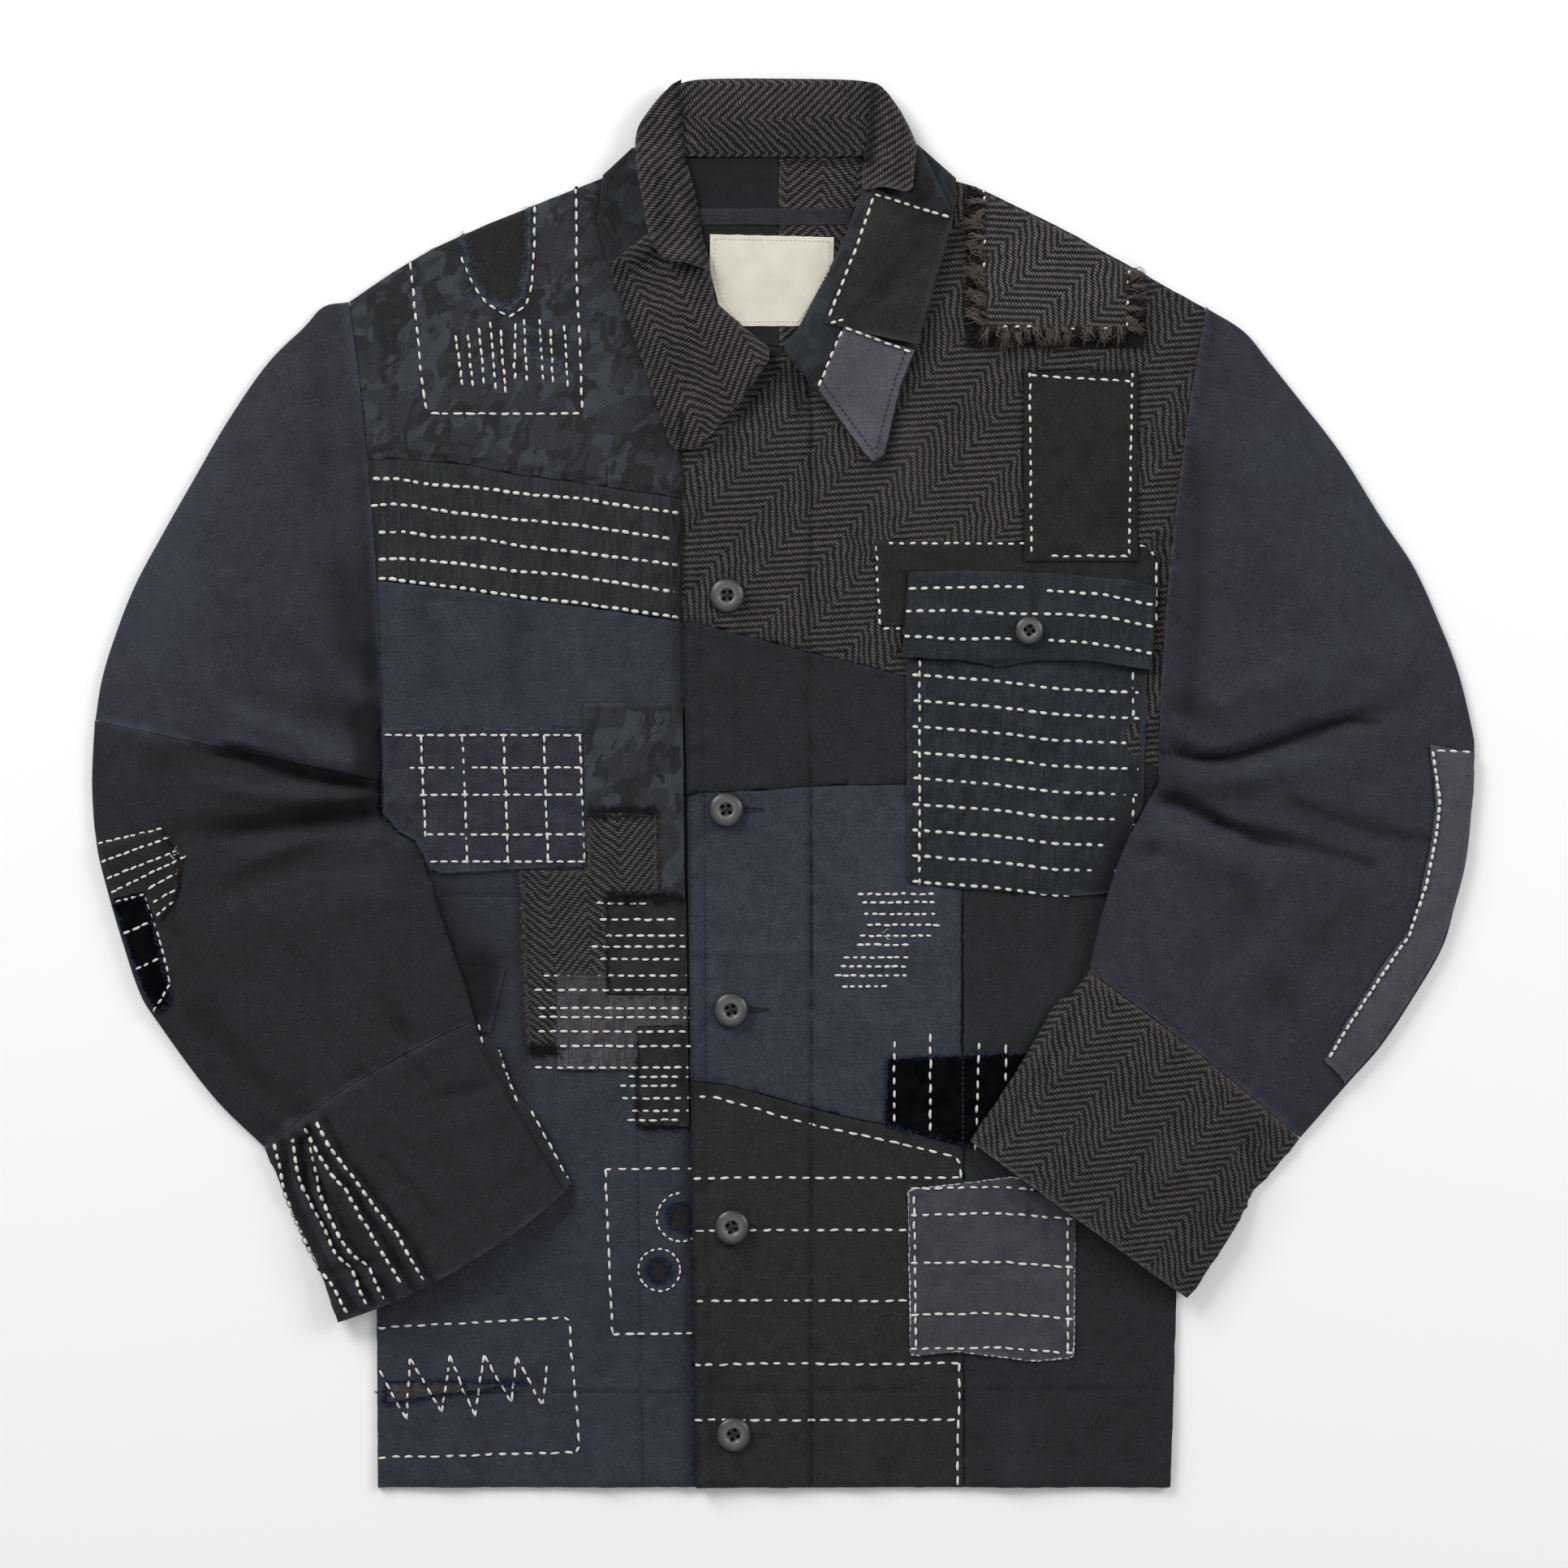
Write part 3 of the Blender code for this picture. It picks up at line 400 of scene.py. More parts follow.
def flat_mat(name, colour, rough, sheen=0.0, specular=0.3, fine=0.6, depth=0.15, spread=0.25, size=6.0, worn=None):
    m = Cloth(name, colour, rough, sheen, specular)
    a, b = m.noise(fine, 2), m.noise(size, 3)
    out = m.mix(m.ramp(b, 0.3, 0.7), tone(colour, 1 - spread), tone(colour, 1 + spread))
    out = m.mix(m.mul(m.ramp(a, 0.5, 0.8), 0.35), out, tone(colour, 1.35))
    m.bump(a, depth, 0.5)
    return m.finish(out, worn, 1.0, grain=0)


NAVY = twill("navy_brushed_twill", (0.0245, 0.0255, 0.034), sheen=0.06, worn=(0.055, 0.062, 0.085))
PANEL_NAVY = twill("washed_navy_twill", (0.0272, 0.0303, 0.0408), sheen=0.05, worn=(0.055, 0.065, 0.09))
BLACK = twill("black_twill", (0.0155, 0.0165, 0.019), sheen=0.05, worn=(0.04, 0.045, 0.05), fleck=0.25)
BAND = twill("black_band", (0.0232, 0.0258, 0.0285), sheen=0.06, worn=(0.038, 0.042, 0.047), fleck=0.25, drawn=0.8)
POCKET = plain("pocket_black_navy", (0.0190, 0.0228, 0.0268), worn=(0.035, 0.042, 0.05), drawn=0.7)
SLATE = plain("slate_navy", (0.0280, 0.0318, 0.0432), worn=(0.055, 0.066, 0.09))
BROWN = plain("brown_black_cotton", (0.0135, 0.0122, 0.0120), sheen=0.03, worn=(0.045, 0.04, 0.037), slub=0.2)
WASHED = plain("washed_black_cotton", (0.0172, 0.0164, 0.0172), sheen=0.05, worn=(0.05, 0.046, 0.045), slub=0.3)
SLIT_CLOTH = plain("pale_brown_cotton", (0.050, 0.0475, 0.0465), sheen=0.05, worn=(0.12, 0.12, 0.12), slub=0.5)
GREY_PATCH = plain("worn_grey_cotton", (0.0440, 0.0435, 0.0530), worn=(0.10, 0.10, 0.12), slub=0.25, grain=0.35)
GREY_COLLAR = plain("pale_grey_cotton", (0.0650, 0.0655, 0.0790), worn=(0.13, 0.13, 0.16), slub=0.25, grain=0.35)
BROWN_COLLAR = plain("worn_brown_cotton", (0.0188, 0.0166, 0.0159), sheen=0.03, worn=(0.05, 0.044, 0.04), slub=0.2)
GREY = plain("grey_cotton", (0.056, 0.056, 0.069), worn=(0.11, 0.11, 0.135), slub=0.25, grain=0.35)
MAUVE = plain("mauve_grey_cotton", (0.0660, 0.0595, 0.0685), worn=(0.12, 0.106, 0.115), slub=0.35, drawn=0.8)
GRIDCLOTH = plain("grid_navy", (0.0228, 0.0240, 0.0325), worn=(0.05, 0.06, 0.085))
COLLAR_WOOL = (0.049, 0.0435, 0.042)
TWEED = tweed("herringbone_wool")
TWEED_SHOULDER = tweed("herringbone_shoulder", (0.064, 0.058, 0.057), (0.0105, 0.0095, 0.0100))
TWEED_CUFF = tweed("herringbone_cuff", column=20.2, pitch=3.4)
TWEED_LEAF = tweed("herringbone_leaf", COLLAR_WOOL, column=21.4, pitch=3.6)
TWEED_COLLAR = tweed("herringbone_collar", COLLAR_WOOL, column=19.2, pitch=3.6)
TWEED_TURN_L = tweed("herringbone_collar_left", COLLAR_WOOL, column=None, pitch=3.9, turn=-1)
TWEED_TURN_R = tweed("herringbone_collar_right", COLLAR_WOOL, column=None, pitch=3.6)
TWEED_PATCH = tweed("herringbone_patch", (0.046, 0.0415, 0.041), (0.0125, 0.0115, 0.0118), 20.9, 3.4)
CAMO = camouflage("tonal_camouflage", (0.0222, 0.0240, 0.0272), (0.0335, 0.0378, 0.0450), (0.0145, 0.0145, 0.0158))
VELVET = flat_mat("blue_black_velvet", (0.0022, 0.0023, 0.0028), 1.0, 0.02, 0.02, 1.0, 0.3, 0.5, 9)
CREAM = flat_mat("cream_label_tape", (0.60, 0.57, 0.485), 0.9, 0.05, 0.2, 0.8, 0.1, 0.05, 14)
TAPE = twill("navy_tape", (0.0178, 0.0198, 0.0255), sheen=0.04)
WHITE = flat_mat("off_white_thread", (0.62, 0.60, 0.55), 0.85, 0.1, 0.3, 0.5, 0.12, 0.05)
DARK = flat_mat("black_thread", (0.009, 0.010, 0.013), 0.8, 0.1, 0.3)
FUZZ_BLUE = flat_mat("frayed_blue_yarn", (0.022, 0.034, 0.07), 1.0, 0.1, 0.1)
FUZZ_PALE = flat_mat("frayed_pale_blue_yarn", (0.07, 0.085, 0.11), 1.0, 0.1, 0.1)
FRAYED_GROUND = flat_mat("frayed_dark_ground", (0.0068, 0.0062, 0.0060), 1.0, 0.05, 0.1)
# near-black flat marks: painted shade round each white stitch and along the collar's roll line
SHADE_DECAL = flat_mat("cloth_pulled_down", (0.0055, 0.0056, 0.0062), 1.0, 0.0, 0.05)
# black twill at about 0.6 of the black's colour: painted shade for the inside of the neck and the underarms
BLACK_IN_SHADE = twill("black_twill_painted_shade", (0.0092, 0.0098, 0.0112), sheen=0.03, worn=(0.03, 0.033, 0.037), fleck=0.25)
FUZZ_BLACK = flat_mat("frayed_black_yarn", (0.013, 0.011, 0.010), 1.0, 0.1, 0.1)
FUZZ_TWEED = flat_mat("frayed_wool_yarn", (0.085, 0.072, 0.064), 1.0, 0.1, 0.1)
CAMO_COLLAR = camouflage(
    "collar_camouflage", (0.0150, 0.0172, 0.0196), (0.0205, 0.0245, 0.0285), (0.0105, 0.0108, 0.0116)
)
BINDING = flat_mat("pale_binding_yarn", (0.40, 0.40, 0.44), 0.95, 0.1, 0.15, 0.6, 0.15, 0.3)
FUZZ_GREY = flat_mat("frayed_grey_yarn", (0.10, 0.10, 0.125), 1.0, 0.1, 0.1)
# its worn colour is a painted highlight, laid on the buttons' rims
HORN = flat_mat("grey_button_resin", (0.010, 0.0105, 0.011), 0.36, 0.0, 0.45, 3.0, 0.04, 0.12, 9, (0.115, 0.12, 0.12))

# ------------------------------------------------------------------ the stack of cloth so far, on a 1 mm lattice
GX, GY, GW, GH = -400, -400, 801, 801  # its corner and its size
stack = np.zeros((GW, GH))


def height_at(x, y, field=None):
    f = stack if field is None else field
    u = np.clip(np.asarray(x, float) - GX, 0, GW - 1.001)
    v = np.clip(np.asarray(y, float) - GY, 0, GH - 1.001)
    i, j = u.astype(int), v.astype(int)
    a, b = u - i, v - j
    return (f[i, j] * (1 - a) + f[i + 1, j] * a) * (1 - b) + (f[i, j + 1] * (1 - a) + f[i + 1, j + 1] * a) * b


def window(ring, margin):
    """The part of the lattice round an outline."""
    xs, ys = zip(*ring)
    i0, i1 = int(min(xs)) - GX - margin, int(max(xs)) - GX + margin + 1
    j0, j1 = int(min(ys)) - GY - margin, int(max(ys)) - GY + margin + 1
    return max(i0, 0), min(i1, GW), max(j0, 0), min(j1, GH)


def draped(ring, passes=14, gap=GAP):
    """How high a cloth lies over the stack here: it bridges hollows and slopes off each step."""
    i0, i1, j0, j1 = window(ring, 30)
    floor = stack[i0:i1, j0:j1].copy()
    m = inside(list(ring), *np.meshgrid(np.arange(i0, i1) + GX + 0.0, np.arange(j0, j1) + GY + 0.0, indexing="ij"))
    floor[~m & (floor < np.median(floor[m]) - 1.2)] = np.median(floor[m])
    f = floor.copy()
    for _ in range(passes):
        for axis in (0, 1):
            f = (np.roll(f, 1, axis) + 2 * f + np.roll(f, -1, axis)) / 4
        f = np.maximum(f, floor)
    for axis in (0, 1):
        f = (np.roll(f, 1, axis) + 2 * f + np.roll(f, -1, axis)) / 4
    field = stack.copy()
    field[i0:i1, j0:j1] = f
    return lambda x, y: height_at(x, y, field) + gap


def lay(ring, top):
    i0, i1, j0, j1 = window(ring, 1)
    i, j = np.meshgrid(np.arange(i0, i1), np.arange(j0, j1), indexing="ij")
    x, y = (i + GX).astype(float), (j + GY).astype(float)
    m = inside(list(ring), x, y)
    stack[i[m], j[m]] = top(x[m], y[m])


# ------------------------------------------------------------------ meshes
def mesh_object(name, points, faces, mat, uv=None, wear_light_and_shade=None, sharp=60):
    mesh = bpy.data.meshes.new(name)
    points = np.asarray(points, float)
    faces = np.asarray(faces)
    n, k = len(faces), faces.shape[1]
    mesh.vertices.add(len(points))
    mesh.vertices.foreach_set("co", (points * MM).ravel())
    mesh.loops.add(n * k)
    mesh.loops.foreach_set("vertex_index", faces.ravel())
    mesh.polygons.add(n)
    mesh.polygons.foreach_set("loop_start", np.arange(n) * k)
    mesh.update(calc_edges=True)
    mesh.validate()
    flat = points[:, :2] if uv is None else np.asarray(uv)
    layer = mesh.uv_layers.new(name="Cloth")
    index = np.empty(len(mesh.loops), np.int32)
    mesh.loops.foreach_get("vertex_index", index)
    layer.data.foreach_set("uv", flat[index].ravel())
    if wear_light_and_shade is not None:
        mesh.attributes.new("wear_light_and_shade", "FLOAT", "POINT").data.foreach_set("value", np.asarray(wear_light_and_shade, np.float32))
    mesh.polygons.foreach_set("use_smooth", np.ones(len(mesh.polygons), bool))
    if sharp:
        mesh.set_sharp_from_angle(angle=math.radians(sharp))
    mesh.materials.append(mat)
    obj = bpy.data.objects.new(name, mesh)
    bpy.context.scene.collection.objects.link(obj)
    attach(obj, "root")
    return obj


def turned(x, y, degrees):
    a = math.radians(degrees)
    return np.stack([x * math.cos(a) + y * math.sin(a), -x * math.sin(a) + y * math.cos(a)], 1)


def level(x, y):
    return 0 * np.asarray(x, float)


RINGS = {}
CREASES = []  # lines of machine sewing, along which the cloth's mesh is finer
CREASE_ROWS = (-1.9, -0.8, 0, 0.8, 1.9)
CREASE_STEP, CREASE_CLEAR = 2.4, 2.9  # spacing along those rows, and the coarse mesh kept off them


def sheet(
    name, ring, mat, wall, low, relief=level, pitch=2.4, grain=0.0, slide=0.0, holes=(), edge=1.6, drop=0.55,
    wobble=0.25, rim=0.9, replaces=None
):
    """A piece of cloth over its outline, its edge rounded off.

    low gives its underside, relief what stands up from its lie."""
    ring = list(ring)
    RINGS[name] = ring
    seed = sum(map(ord, name)) % 97
    rings = [walk(r, pitch * 0.9, True) for r in (ring, *holes)]
    plan, edges = [], []
    for r in rings:
        start = len(plan)
        for x, y in r:
            plan.append((
                x + wobble * float(noise(x, y, 5, seed, 2)), y + wobble * float(noise(x, y, 5, seed + 1, 2))
            ))
        edges += [(start + k, start + (k + 1) % len(r)) for k in range(len(r))]
    xs, ys = zip(*ring)
    gy, gx = np.meshgrid(
        np.arange(min(ys), max(ys) + pitch, pitch * 0.87), np.arange(min(xs), max(xs) + pitch, pitch), indexing="ij"
    )
    gx = gx + (np.arange(gx.shape[0]) % 2)[:, None] * pitch * 0.5
    gx, gy = gx.ravel(), gy.ravel()
    keep = inside(ring, gx, gy)
    gx, gy = gx[keep], gy[keep]
    keep = distance([*ring, ring[0]], gx, gy) > 0.5 * pitch + wobble * 0.5
    for hole in holes:
        keep &= ~inside(list(hole), gx, gy) & (distance([*hole, hole[0]], gx, gy) > 0.5 * pitch)
    extra = []
    for line in CREASES:
        rows = [np.array([(x, y) for x, y in walk(line, CREASE_STEP)])]
        step = np.gradient(rows[0], axis=0)
        normal = np.stack([-step[:, 1], step[:, 0]], 1) / np.hypot(*step.T)[:, None]
        rows = np.concatenate([rows[0] + normal * off for off in CREASE_ROWS])
        fits = inside(ring, *rows.T) & (distance([*ring, ring[0]], *rows.T) > 1.0)
        if wall > 0.9 and pitch < 5 and mat is not VELVET and fits.any():
            extra += [tuple(q) for q in rows[fits]]
            keep &= distance(line, gx, gy) > CREASE_CLEAR
    inner = list(zip(gx[keep], gy[keep])) + extra
    pts, _, tris, *_ = delaunay_2d_cdt([Vector(p) for p in plan + inner], edges, [], 0, 1e-5)
    pts = np.array([tuple(p) for p in pts])
    tris = np.array(tris)
    mid = pts[tris].mean(axis=1)
    outline = [tuple(p) for p in plan[: len(rings[0])]]
    good = inside(outline, mid[:, 0], mid[:, 1])
    start = len(rings[0])
    for r in rings[1:]:
        good &= ~inside([tuple(p) for p in plan[start : start + len(r)]], mid[:, 0], mid[:, 1])
        start += len(r)
    tris = tris[good]
    a, b, c = (pts[tris[:, k]] for k in range(3))
    area = (b[:, 0] - a[:, 0]) * (c[:, 1] - a[:, 1]) - (b[:, 1] - a[:, 1]) * (c[:, 0] - a[:, 0])
    tris = tris[np.abs(area) > 1e-7]
    area = area[np.abs(area) > 1e-7]
    tris[area < 0] = tris[area < 0][:, ::-1]
    used, index = np.unique(tris, return_inverse=True)
    pts, tris = pts[used], index.reshape(-1, 3)
    x, y = pts[:, 0], pts[:, 1]
    rims = [[*ring, ring[0]], *[[*h, h[0]] for h in holes]]

    def inward(x, y):
        return np.min([distance(r, x, y) for r in rims], axis=0)

    def top(x, y):
        d = inward(x, y)
        z = low(x, y) + wall * (1 - drop * (1 - np.sqrt(rounded(d, edge))))
        return z + relief(x, y) * smooth(0.25 + d / 3.0)

    over, under = top(x, y), low(x, y)
    over = np.maximum(over, under + 0.15)
    wear_light_and_shade = np.clip((relief(x, y) - 0.05) * 1.1, 0, 1) ** 1.3
    d = inward(x, y)
    wear_light_and_shade = np.clip(wear_light_and_shade + rim * np.exp(-((d / 1.5) ** 2)) * (0.6 + 0.5 * noise(x, y, 4, 9)), 0, 1)
    # painted shade from the shade lines darkens the top towards near-black (a negative amount paints it paler)
    if wall > 0.6 and name not in UNSHADED:
        shading = painted_shade(SHADE_LINES, x, y)
        wear_light_and_shade = wear_light_and_shade * (1 - shading) - shading
    n = len(pts)
    sides = {}
    for k in range(3):
        for p, q in zip(tris[:, k], tris[:, (k + 1) % 3]):
            sides[(int(p), int(q))] = True
    open_sides = [(p, q) for p, q in sides if (q, p) not in sides]
    wallf = np.array([(p, q, q + n) for p, q in open_sides] + [(p, q + n, p + n) for p, q in open_sides])
    faces = np.concatenate([tris[:, ::-1], tris + n, wallf])
    points = np.concatenate([np.column_stack([x, y, under]), np.column_stack([x, y, over])])
    uv = turned(x, y, grain) + (slide, 0)
    obj = mesh_object(name, points, faces, mat, np.concatenate([uv, uv]), np.concatenate([wear_light_and_shade * 0, wear_light_and_shade]))
    for node in [replaces] if isinstance(replaces, str) else replaces or []:
        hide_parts(node)
    lay(ring, top)
    return obj


def outlines(node, simpler=0.15):
    """The outline of a flat CAD piece in millimetres, those of its holes, and its area.

    They are the edges between its underside and its walls."""
    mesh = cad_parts[node].data
    world = np.array(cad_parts[node].matrix_world)
    co = np.empty(len(mesh.vertices) * 3)
    mesh.vertices.foreach_get("co", co)
    co = (co.reshape(-1, 3) @ world[:3, :3].T + world[:3, 3]) / MM
    mesh.calc_loop_triangles()
    tris = np.array([t.vertices for t in mesh.loop_triangles])
    a, b, c = (co[tris[:, k]] for k in range(3))
    n = np.cross(b - a, c - a)
    n /= np.linalg.norm(n, axis=1)[:, None] + 1e-12
    key = [tuple(q) for q in np.round(co[:, :2], 2)]
    step = {}
    for t in tris[n[:, 2] < -0.3]:
        for p, q in zip(t, np.roll(t, -1)):
            step[(key[p], key[q])] = True
    after = {}
    for p, q in step:
        if (q, p) not in step and p != q:
            after.setdefault(q, []).append(p)
    loops = []
    while after:
        at = next(iter(after))
        loop = []
        while at in after:
            loop.append(at)
            nxt = after[at].pop()
            if not after[at]:
                del after[at]
            at = nxt
        if len(loop) > 2:
            loops.append(loop)
    out = []
    for loop in loops:
        kept = []
        for k, p in enumerate(loop):
            before, behind = (kept[-1] if kept else loop[k - 1]), loop[(k + 1) % len(loop)]
            if distance([before, behind], [p[0]], [p[1]])[0] > simpler:
                kept.append(p)
        out.append(kept)
    area = [abs(area_of(r)) for r in out]
    order = sorted(range(len(out)), key=lambda k: -area[k])
    return [out[k] for k in order], area[order[0]] - sum(area[k] for k in order[1:])


# ------------------------------------------------------------------ lines of sewing
# White hand stitches, as running stitch: line, stitch, gap, how much it puckers the cloth, how far, and its width.
def sewn(lines, *how):
    return [(line, *how) for line in lines]


def across(rows, *how):
    return sewn([[(a, y), (b, y)] for a, b, y in rows], *how)


SASHIKO = [
    [(-233, 169), (-213, 169), (-198, 166), (-169, 164), (-140, 160), (-112, 158), (-83, 153), (-58, 150)],
    [(-229, 154), (-218, 155), (-205, 154), (-188, 151), (-155, 147), (-112, 143), (-58, 135)],
    [(-230, 139), (-212, 140), (-195, 137), (-169, 136), (-142, 131), (-112, 128), (-58, 121)],
    [(-230, 124), (-212, 125), (-179, 122), (-152, 118), (-123, 116), (-97, 112), (-58, 106)],
    [(-230, 113), (-222, 114), (-198, 111), (-169, 107), (-140, 103), (-112, 100), (-58, 92)],
]
DARN_YOKE = [
    (-181.7, 248.6, -178, 220.4), (-174.9, 249, -172.2, 220), (-168.9, 252.3, -166.1, 221.7),
    (-162.3, 255.6, -159.7, 218.4), (-157, 251.4, -154, 215.6), (-148.9, 255.2, -148.9, 223.9),
    (-143.9, 257.4, -142.3, 222.6), (-135.3, 257.4, -133.5, 223.3), (-129.1, 251.9, -128, 222.2),
    (-121.6, 254, -119.7, 220)
]
ZIGZAG = [
    (-224, -325), (-209, -352), (-207, -318), (-189, -348), (-185, -316), (-171, -350), (-166, -316), (-151, -342),
    (-148, -317), (-134, -345), (-131, -322)
]
GRID_DOWN = [(-201, -30), (-178, -44), (-155, -44), (-133, -43), (-113, -42)]  # place and lower end
MENDED = [(-57, -240, 13.5), (-69, -269, 11.7)]  # centre and radius of the rings sewn round two mended holes


def circle(x, y, r, n=24):
    return [(x + r * math.cos(2 * math.pi * k / n), y + r * math.sin(2 * math.pi * k / n)) for k in range(n + 1)]


HAND_L = [
    *sewn([circle(*mend) for mend in MENDED], 2.7, 1.5, 0.4, 4, 1.25),
    *sewn(SASHIKO, 3.9, 1.75, 0.6, 9, 2.0),
    ([(-207, 289), (-204, 259), (-201, 226), (-198, 207)], 3.8, 3.2, 0.25, 6),
    ([(-196, 205), (-113, 205)], 3.8, 3.0, 0.25, 6),
    ([(-115, 331), (-115, 284), (-113, 245), (-112, 208)], 3.8, 3.2, 0.25, 6),
    (
        [
            (-178.6, 292), (-172.5, 277), (-163.7, 265), (-151.6, 258), (-142.8, 265), (-139.5, 275), (-138, 300),
            (-138, 320)
        ],
        3.6, 2.6, 0.35, 6
    ),
    *sewn([[(a, b), (c, d)] for a, b, c, d in DARN_YOKE], 3.3, 1.9, 0.2, 3),
    *across(
        [
            (-104, -76, -66), (-102, -54, -75), (-99, -54, -84), (-107, -54, -90), (-102, -57, -97),
            (-133, -53, -106), (-138, -53, -114), (-136, -52, -124), (-136, -52, -129), (-136, -54, -137),
            (-124, -51, -145), (-138, -51, -157), (-86, -52, -162), (-91, -53, -167), (-90, -51, -174),
            (-84, -52, -181), (-87, -52, -186)
        ],
        4.15, 1.85, 0.5, 5, 1.5
    ),
    ([(-99, -213), (-95, -305)], 3.8, 3.4, 0.3, 7),
    ([(-99, -213), (-51, -213)], 3.8, 3.4, 0.3, 7),
    ([(-95, -305), (-50, -304)], 3.8, 3.4, 0.3, 7),
    ([(-225, -301), (-119, -295), (-113, -370), (-225, -373)], 3.8, 3.6, 0.3, 8),
    *sewn(zip(ZIGZAG, ZIGZAG[1:]), 3.6, 2.6, 0.35, 6),
    ([(-221.5, 27), (-219.5, -10), (-213, -25), (-203, -30), (-198, -40)], 4.15, 1.75, 0.3, 7, 1.45),
    *sewn([[(x, 27), (x + 2.5, low)] for x, low in GRID_DOWN], 4.15, 1.75, 0.3, 7, 1.45),
    *across(
        [(-221, -112, 27), (-220, -112, 9), (-219, -111, -6), (-210, -110, -28), (-196, -110, -43)], 4.15, 1.75, 0.3,
        7, 1.45
    ),
]
HAND_R = [
    *across(
        [
            (41, 83, -61), (43, 84, -65.5), (44, 84, -72), (46, 86, -78), (42, 82, -84), (40, 69, -89), (33, 69, -96),
            (31, 68, -101), (28, 68, -106), (32, 57, -112)
        ],
        3.0, 1.8, 0.35, 4
    ),
    *sewn(
        [[(61, -142), (61, -187)], [(81, -138), (81, -192)], [(108, -143), (106, -203)], [(123, -144), (123, -165)]],
        3.8, 3.4, 0.3, 6
    ),
    *across([(58, 133, 133), (55, 65, 86)], 2.6, 3.6, 0.2, 5),
    ([(51, 132), (53, 88)], 2.6, 3.6, 0.2, 5),
    ([(197, 132), (203, 130), (206, 123), (206, 90)], 3.8, 3.4, 0.2, 5),
    ([(136, 228), (137, 128)], 2.4, 3.5, 0.25, 6),
    ([(193, 228), (191, 127)], 2.4, 3.5, 0.25, 6),
    ([(136, 226), (192, 223)], 2.6, 3.7, 0.25, 6),
    ([(148, 126), (190, 126)], 2.6, 3.5, 0.25, 6),
    *[(
        [(71, 60.5 - 14.3 * k), (119, 56.8 - 14.3 * k), (151, 52.6 - 14.3 * k), (197, 50.4 - 14.1 * k)], 3.75, 2.55,
        0.45, 7, 1.85
    ) for k in range(9)],
    ([(75, 76), (75, -56)], 3.2, 3.2, 0.3, 6),
    ([(193, 76), (194, -60)], 3.8, 3.0, 0.3, 6),
    (
        [(-47, -173), (-40, -173), (-18, -179), (16, -189), (42, -194), (81, -203), (97, -207), (98, -218)], 4.0, 3.6,
        0.35, 7
    ),
    *across([(-50, 97, -218), (-49, 68, -247), (-48, 68, -286), (-51, 97, -321), (-50, 95, -352)], 4.0, 3.6, 0.4, 8),
    ([(97, -321), (96, -388)], 4.0, 3.6, 0.3, 7),
    *[([(70, y), (119, y + 1.2), (160, y - 2)], 3.9, 2.9, 0.35, 7) for y in (-224, -238.5, -265.5, -294, -313)],
    ([(72, -228), (73, -312)], 3.9, 2.9, 0.3, 6),
    ([(157, -226), (157, -314)], 3.9, 2.9, 0.3, 6),
]

# Machine stitching in dark thread: line, and how deep it draws the cloth.
MACHINE_L = [
    ([(-82, -161), (-78, -389)], 0.35),
    ([(-227, -337), (-52, -337)], 0.3),
    ([(-193, -62), (-146, -62)], 0.3),
    ([(-223, 262), (-216, 186)], 0.2),
]
MACHINE_R = [
    ([(-47, 205), (-46, 90), (-44, -5), (-43, -168), (-40, -389)], 0.35),
    ([(15, 225), (14.5, 100), (15, -100), (15, -389)], 1.1),
    ([(-49, -337), (204, -335)], 0.3),
]

# Folds and hollows in the cloth: line, height, half width, and which of its ends run on to an edge.
FOLDS_L = [
    ([(-190, 78), (-184, 10), (-188, -50)], -1.35, 12, ""),
    ([(-160, 70), (-152, 0), (-150, -60)], 1.35, 10, ""),
    ([(-205, -80), (-196, -190), (-200, -280)], -1.62, 14, ""),
    ([(-165, -160), (-158, -240), (-165, -300)], 1.62, 13, ""),
    ([(-125, -190), (-120, -260)], -1.35, 9, ""),
    ([(-100, 320), (-92, 230), (-88, 170)], 1.35, 11, ""),
    ([(-66, 150), (-64, 40), (-62, -40)], -1.08, 8, ""),
    ([(-212, 250), (-205, 200), (-206, 120)], -1.35, 9, "ab"),
    ([(-59.5, 190), (-59, 89), (-56.5, -5), (-54.5, -167), (-53.5, -240), (-51.5, -389)], -1.95, 3.2, "ab"),
    ([(-105, -330), (-100, -389)], 1.35, 8, "b"),
    ([(-180, -340), (-186, -389)], 1.35, 9, "b"),
]
FOLDS_R = [
    ([(60, 230), (75, 160), (70, 140)], 1.35, 12, ""),
    ([(30, 200), (35, 110), (20, 20)], -1.08, 11, ""),
    ([(205, 250), (198, 150), (202, 60)], -1.35, 9, "ab"),
    ([(50, -15), (46, -90), (40, -160)], 1.35, 12, ""),
    ([(-56, -93), (0, -92), (64, -90)], 1.22, 3.0, "a"),
    ([(120, -70), (114, -140)], -1.35, 12, ""),
    ([(180, -80), (176, -200), (186, -300)], 1.62, 14, ""),
    ([(200, 20), (190, -24), (174, -58), (160, -96)], -3.0, 13, "ab"),
    ([(150, -120), (140, -200)], -1.35, 11, ""),
    ([(20, -215), (30, -240)], 1.08, 9, ""),
    ([(-10, -255), (-5, -320)], -1.08, 10, ""),
    ([(130, -330), (126, -389)], 1.35, 9, "b"),
    ([(40, -340), (44, -389)], 1.35, 9, "b"),
]


VALLEYS = [  # between the rows of sewing on the left cuff
    [(-252.5, -186), (-243, -205), (-231, -219), (-219, -236), (-207, -251), (-193, -276)],
    [(-261, -190), (-246, -213), (-237, -222), (-228, -238), (-217, -254), (-203, -279)],
    [(-263, -192), (-259, -214), (-248, -233), (-240, -250), (-231, -264), (-214, -284)],
    [(-266, -196), (-264, -219), (-257, -236), (-249, -250), (-242, -262), (-225, -286)],
    [(-275, -199), (-274, -222), (-267, -239), (-260, -252), (-252, -266), (-236, -290)],
]
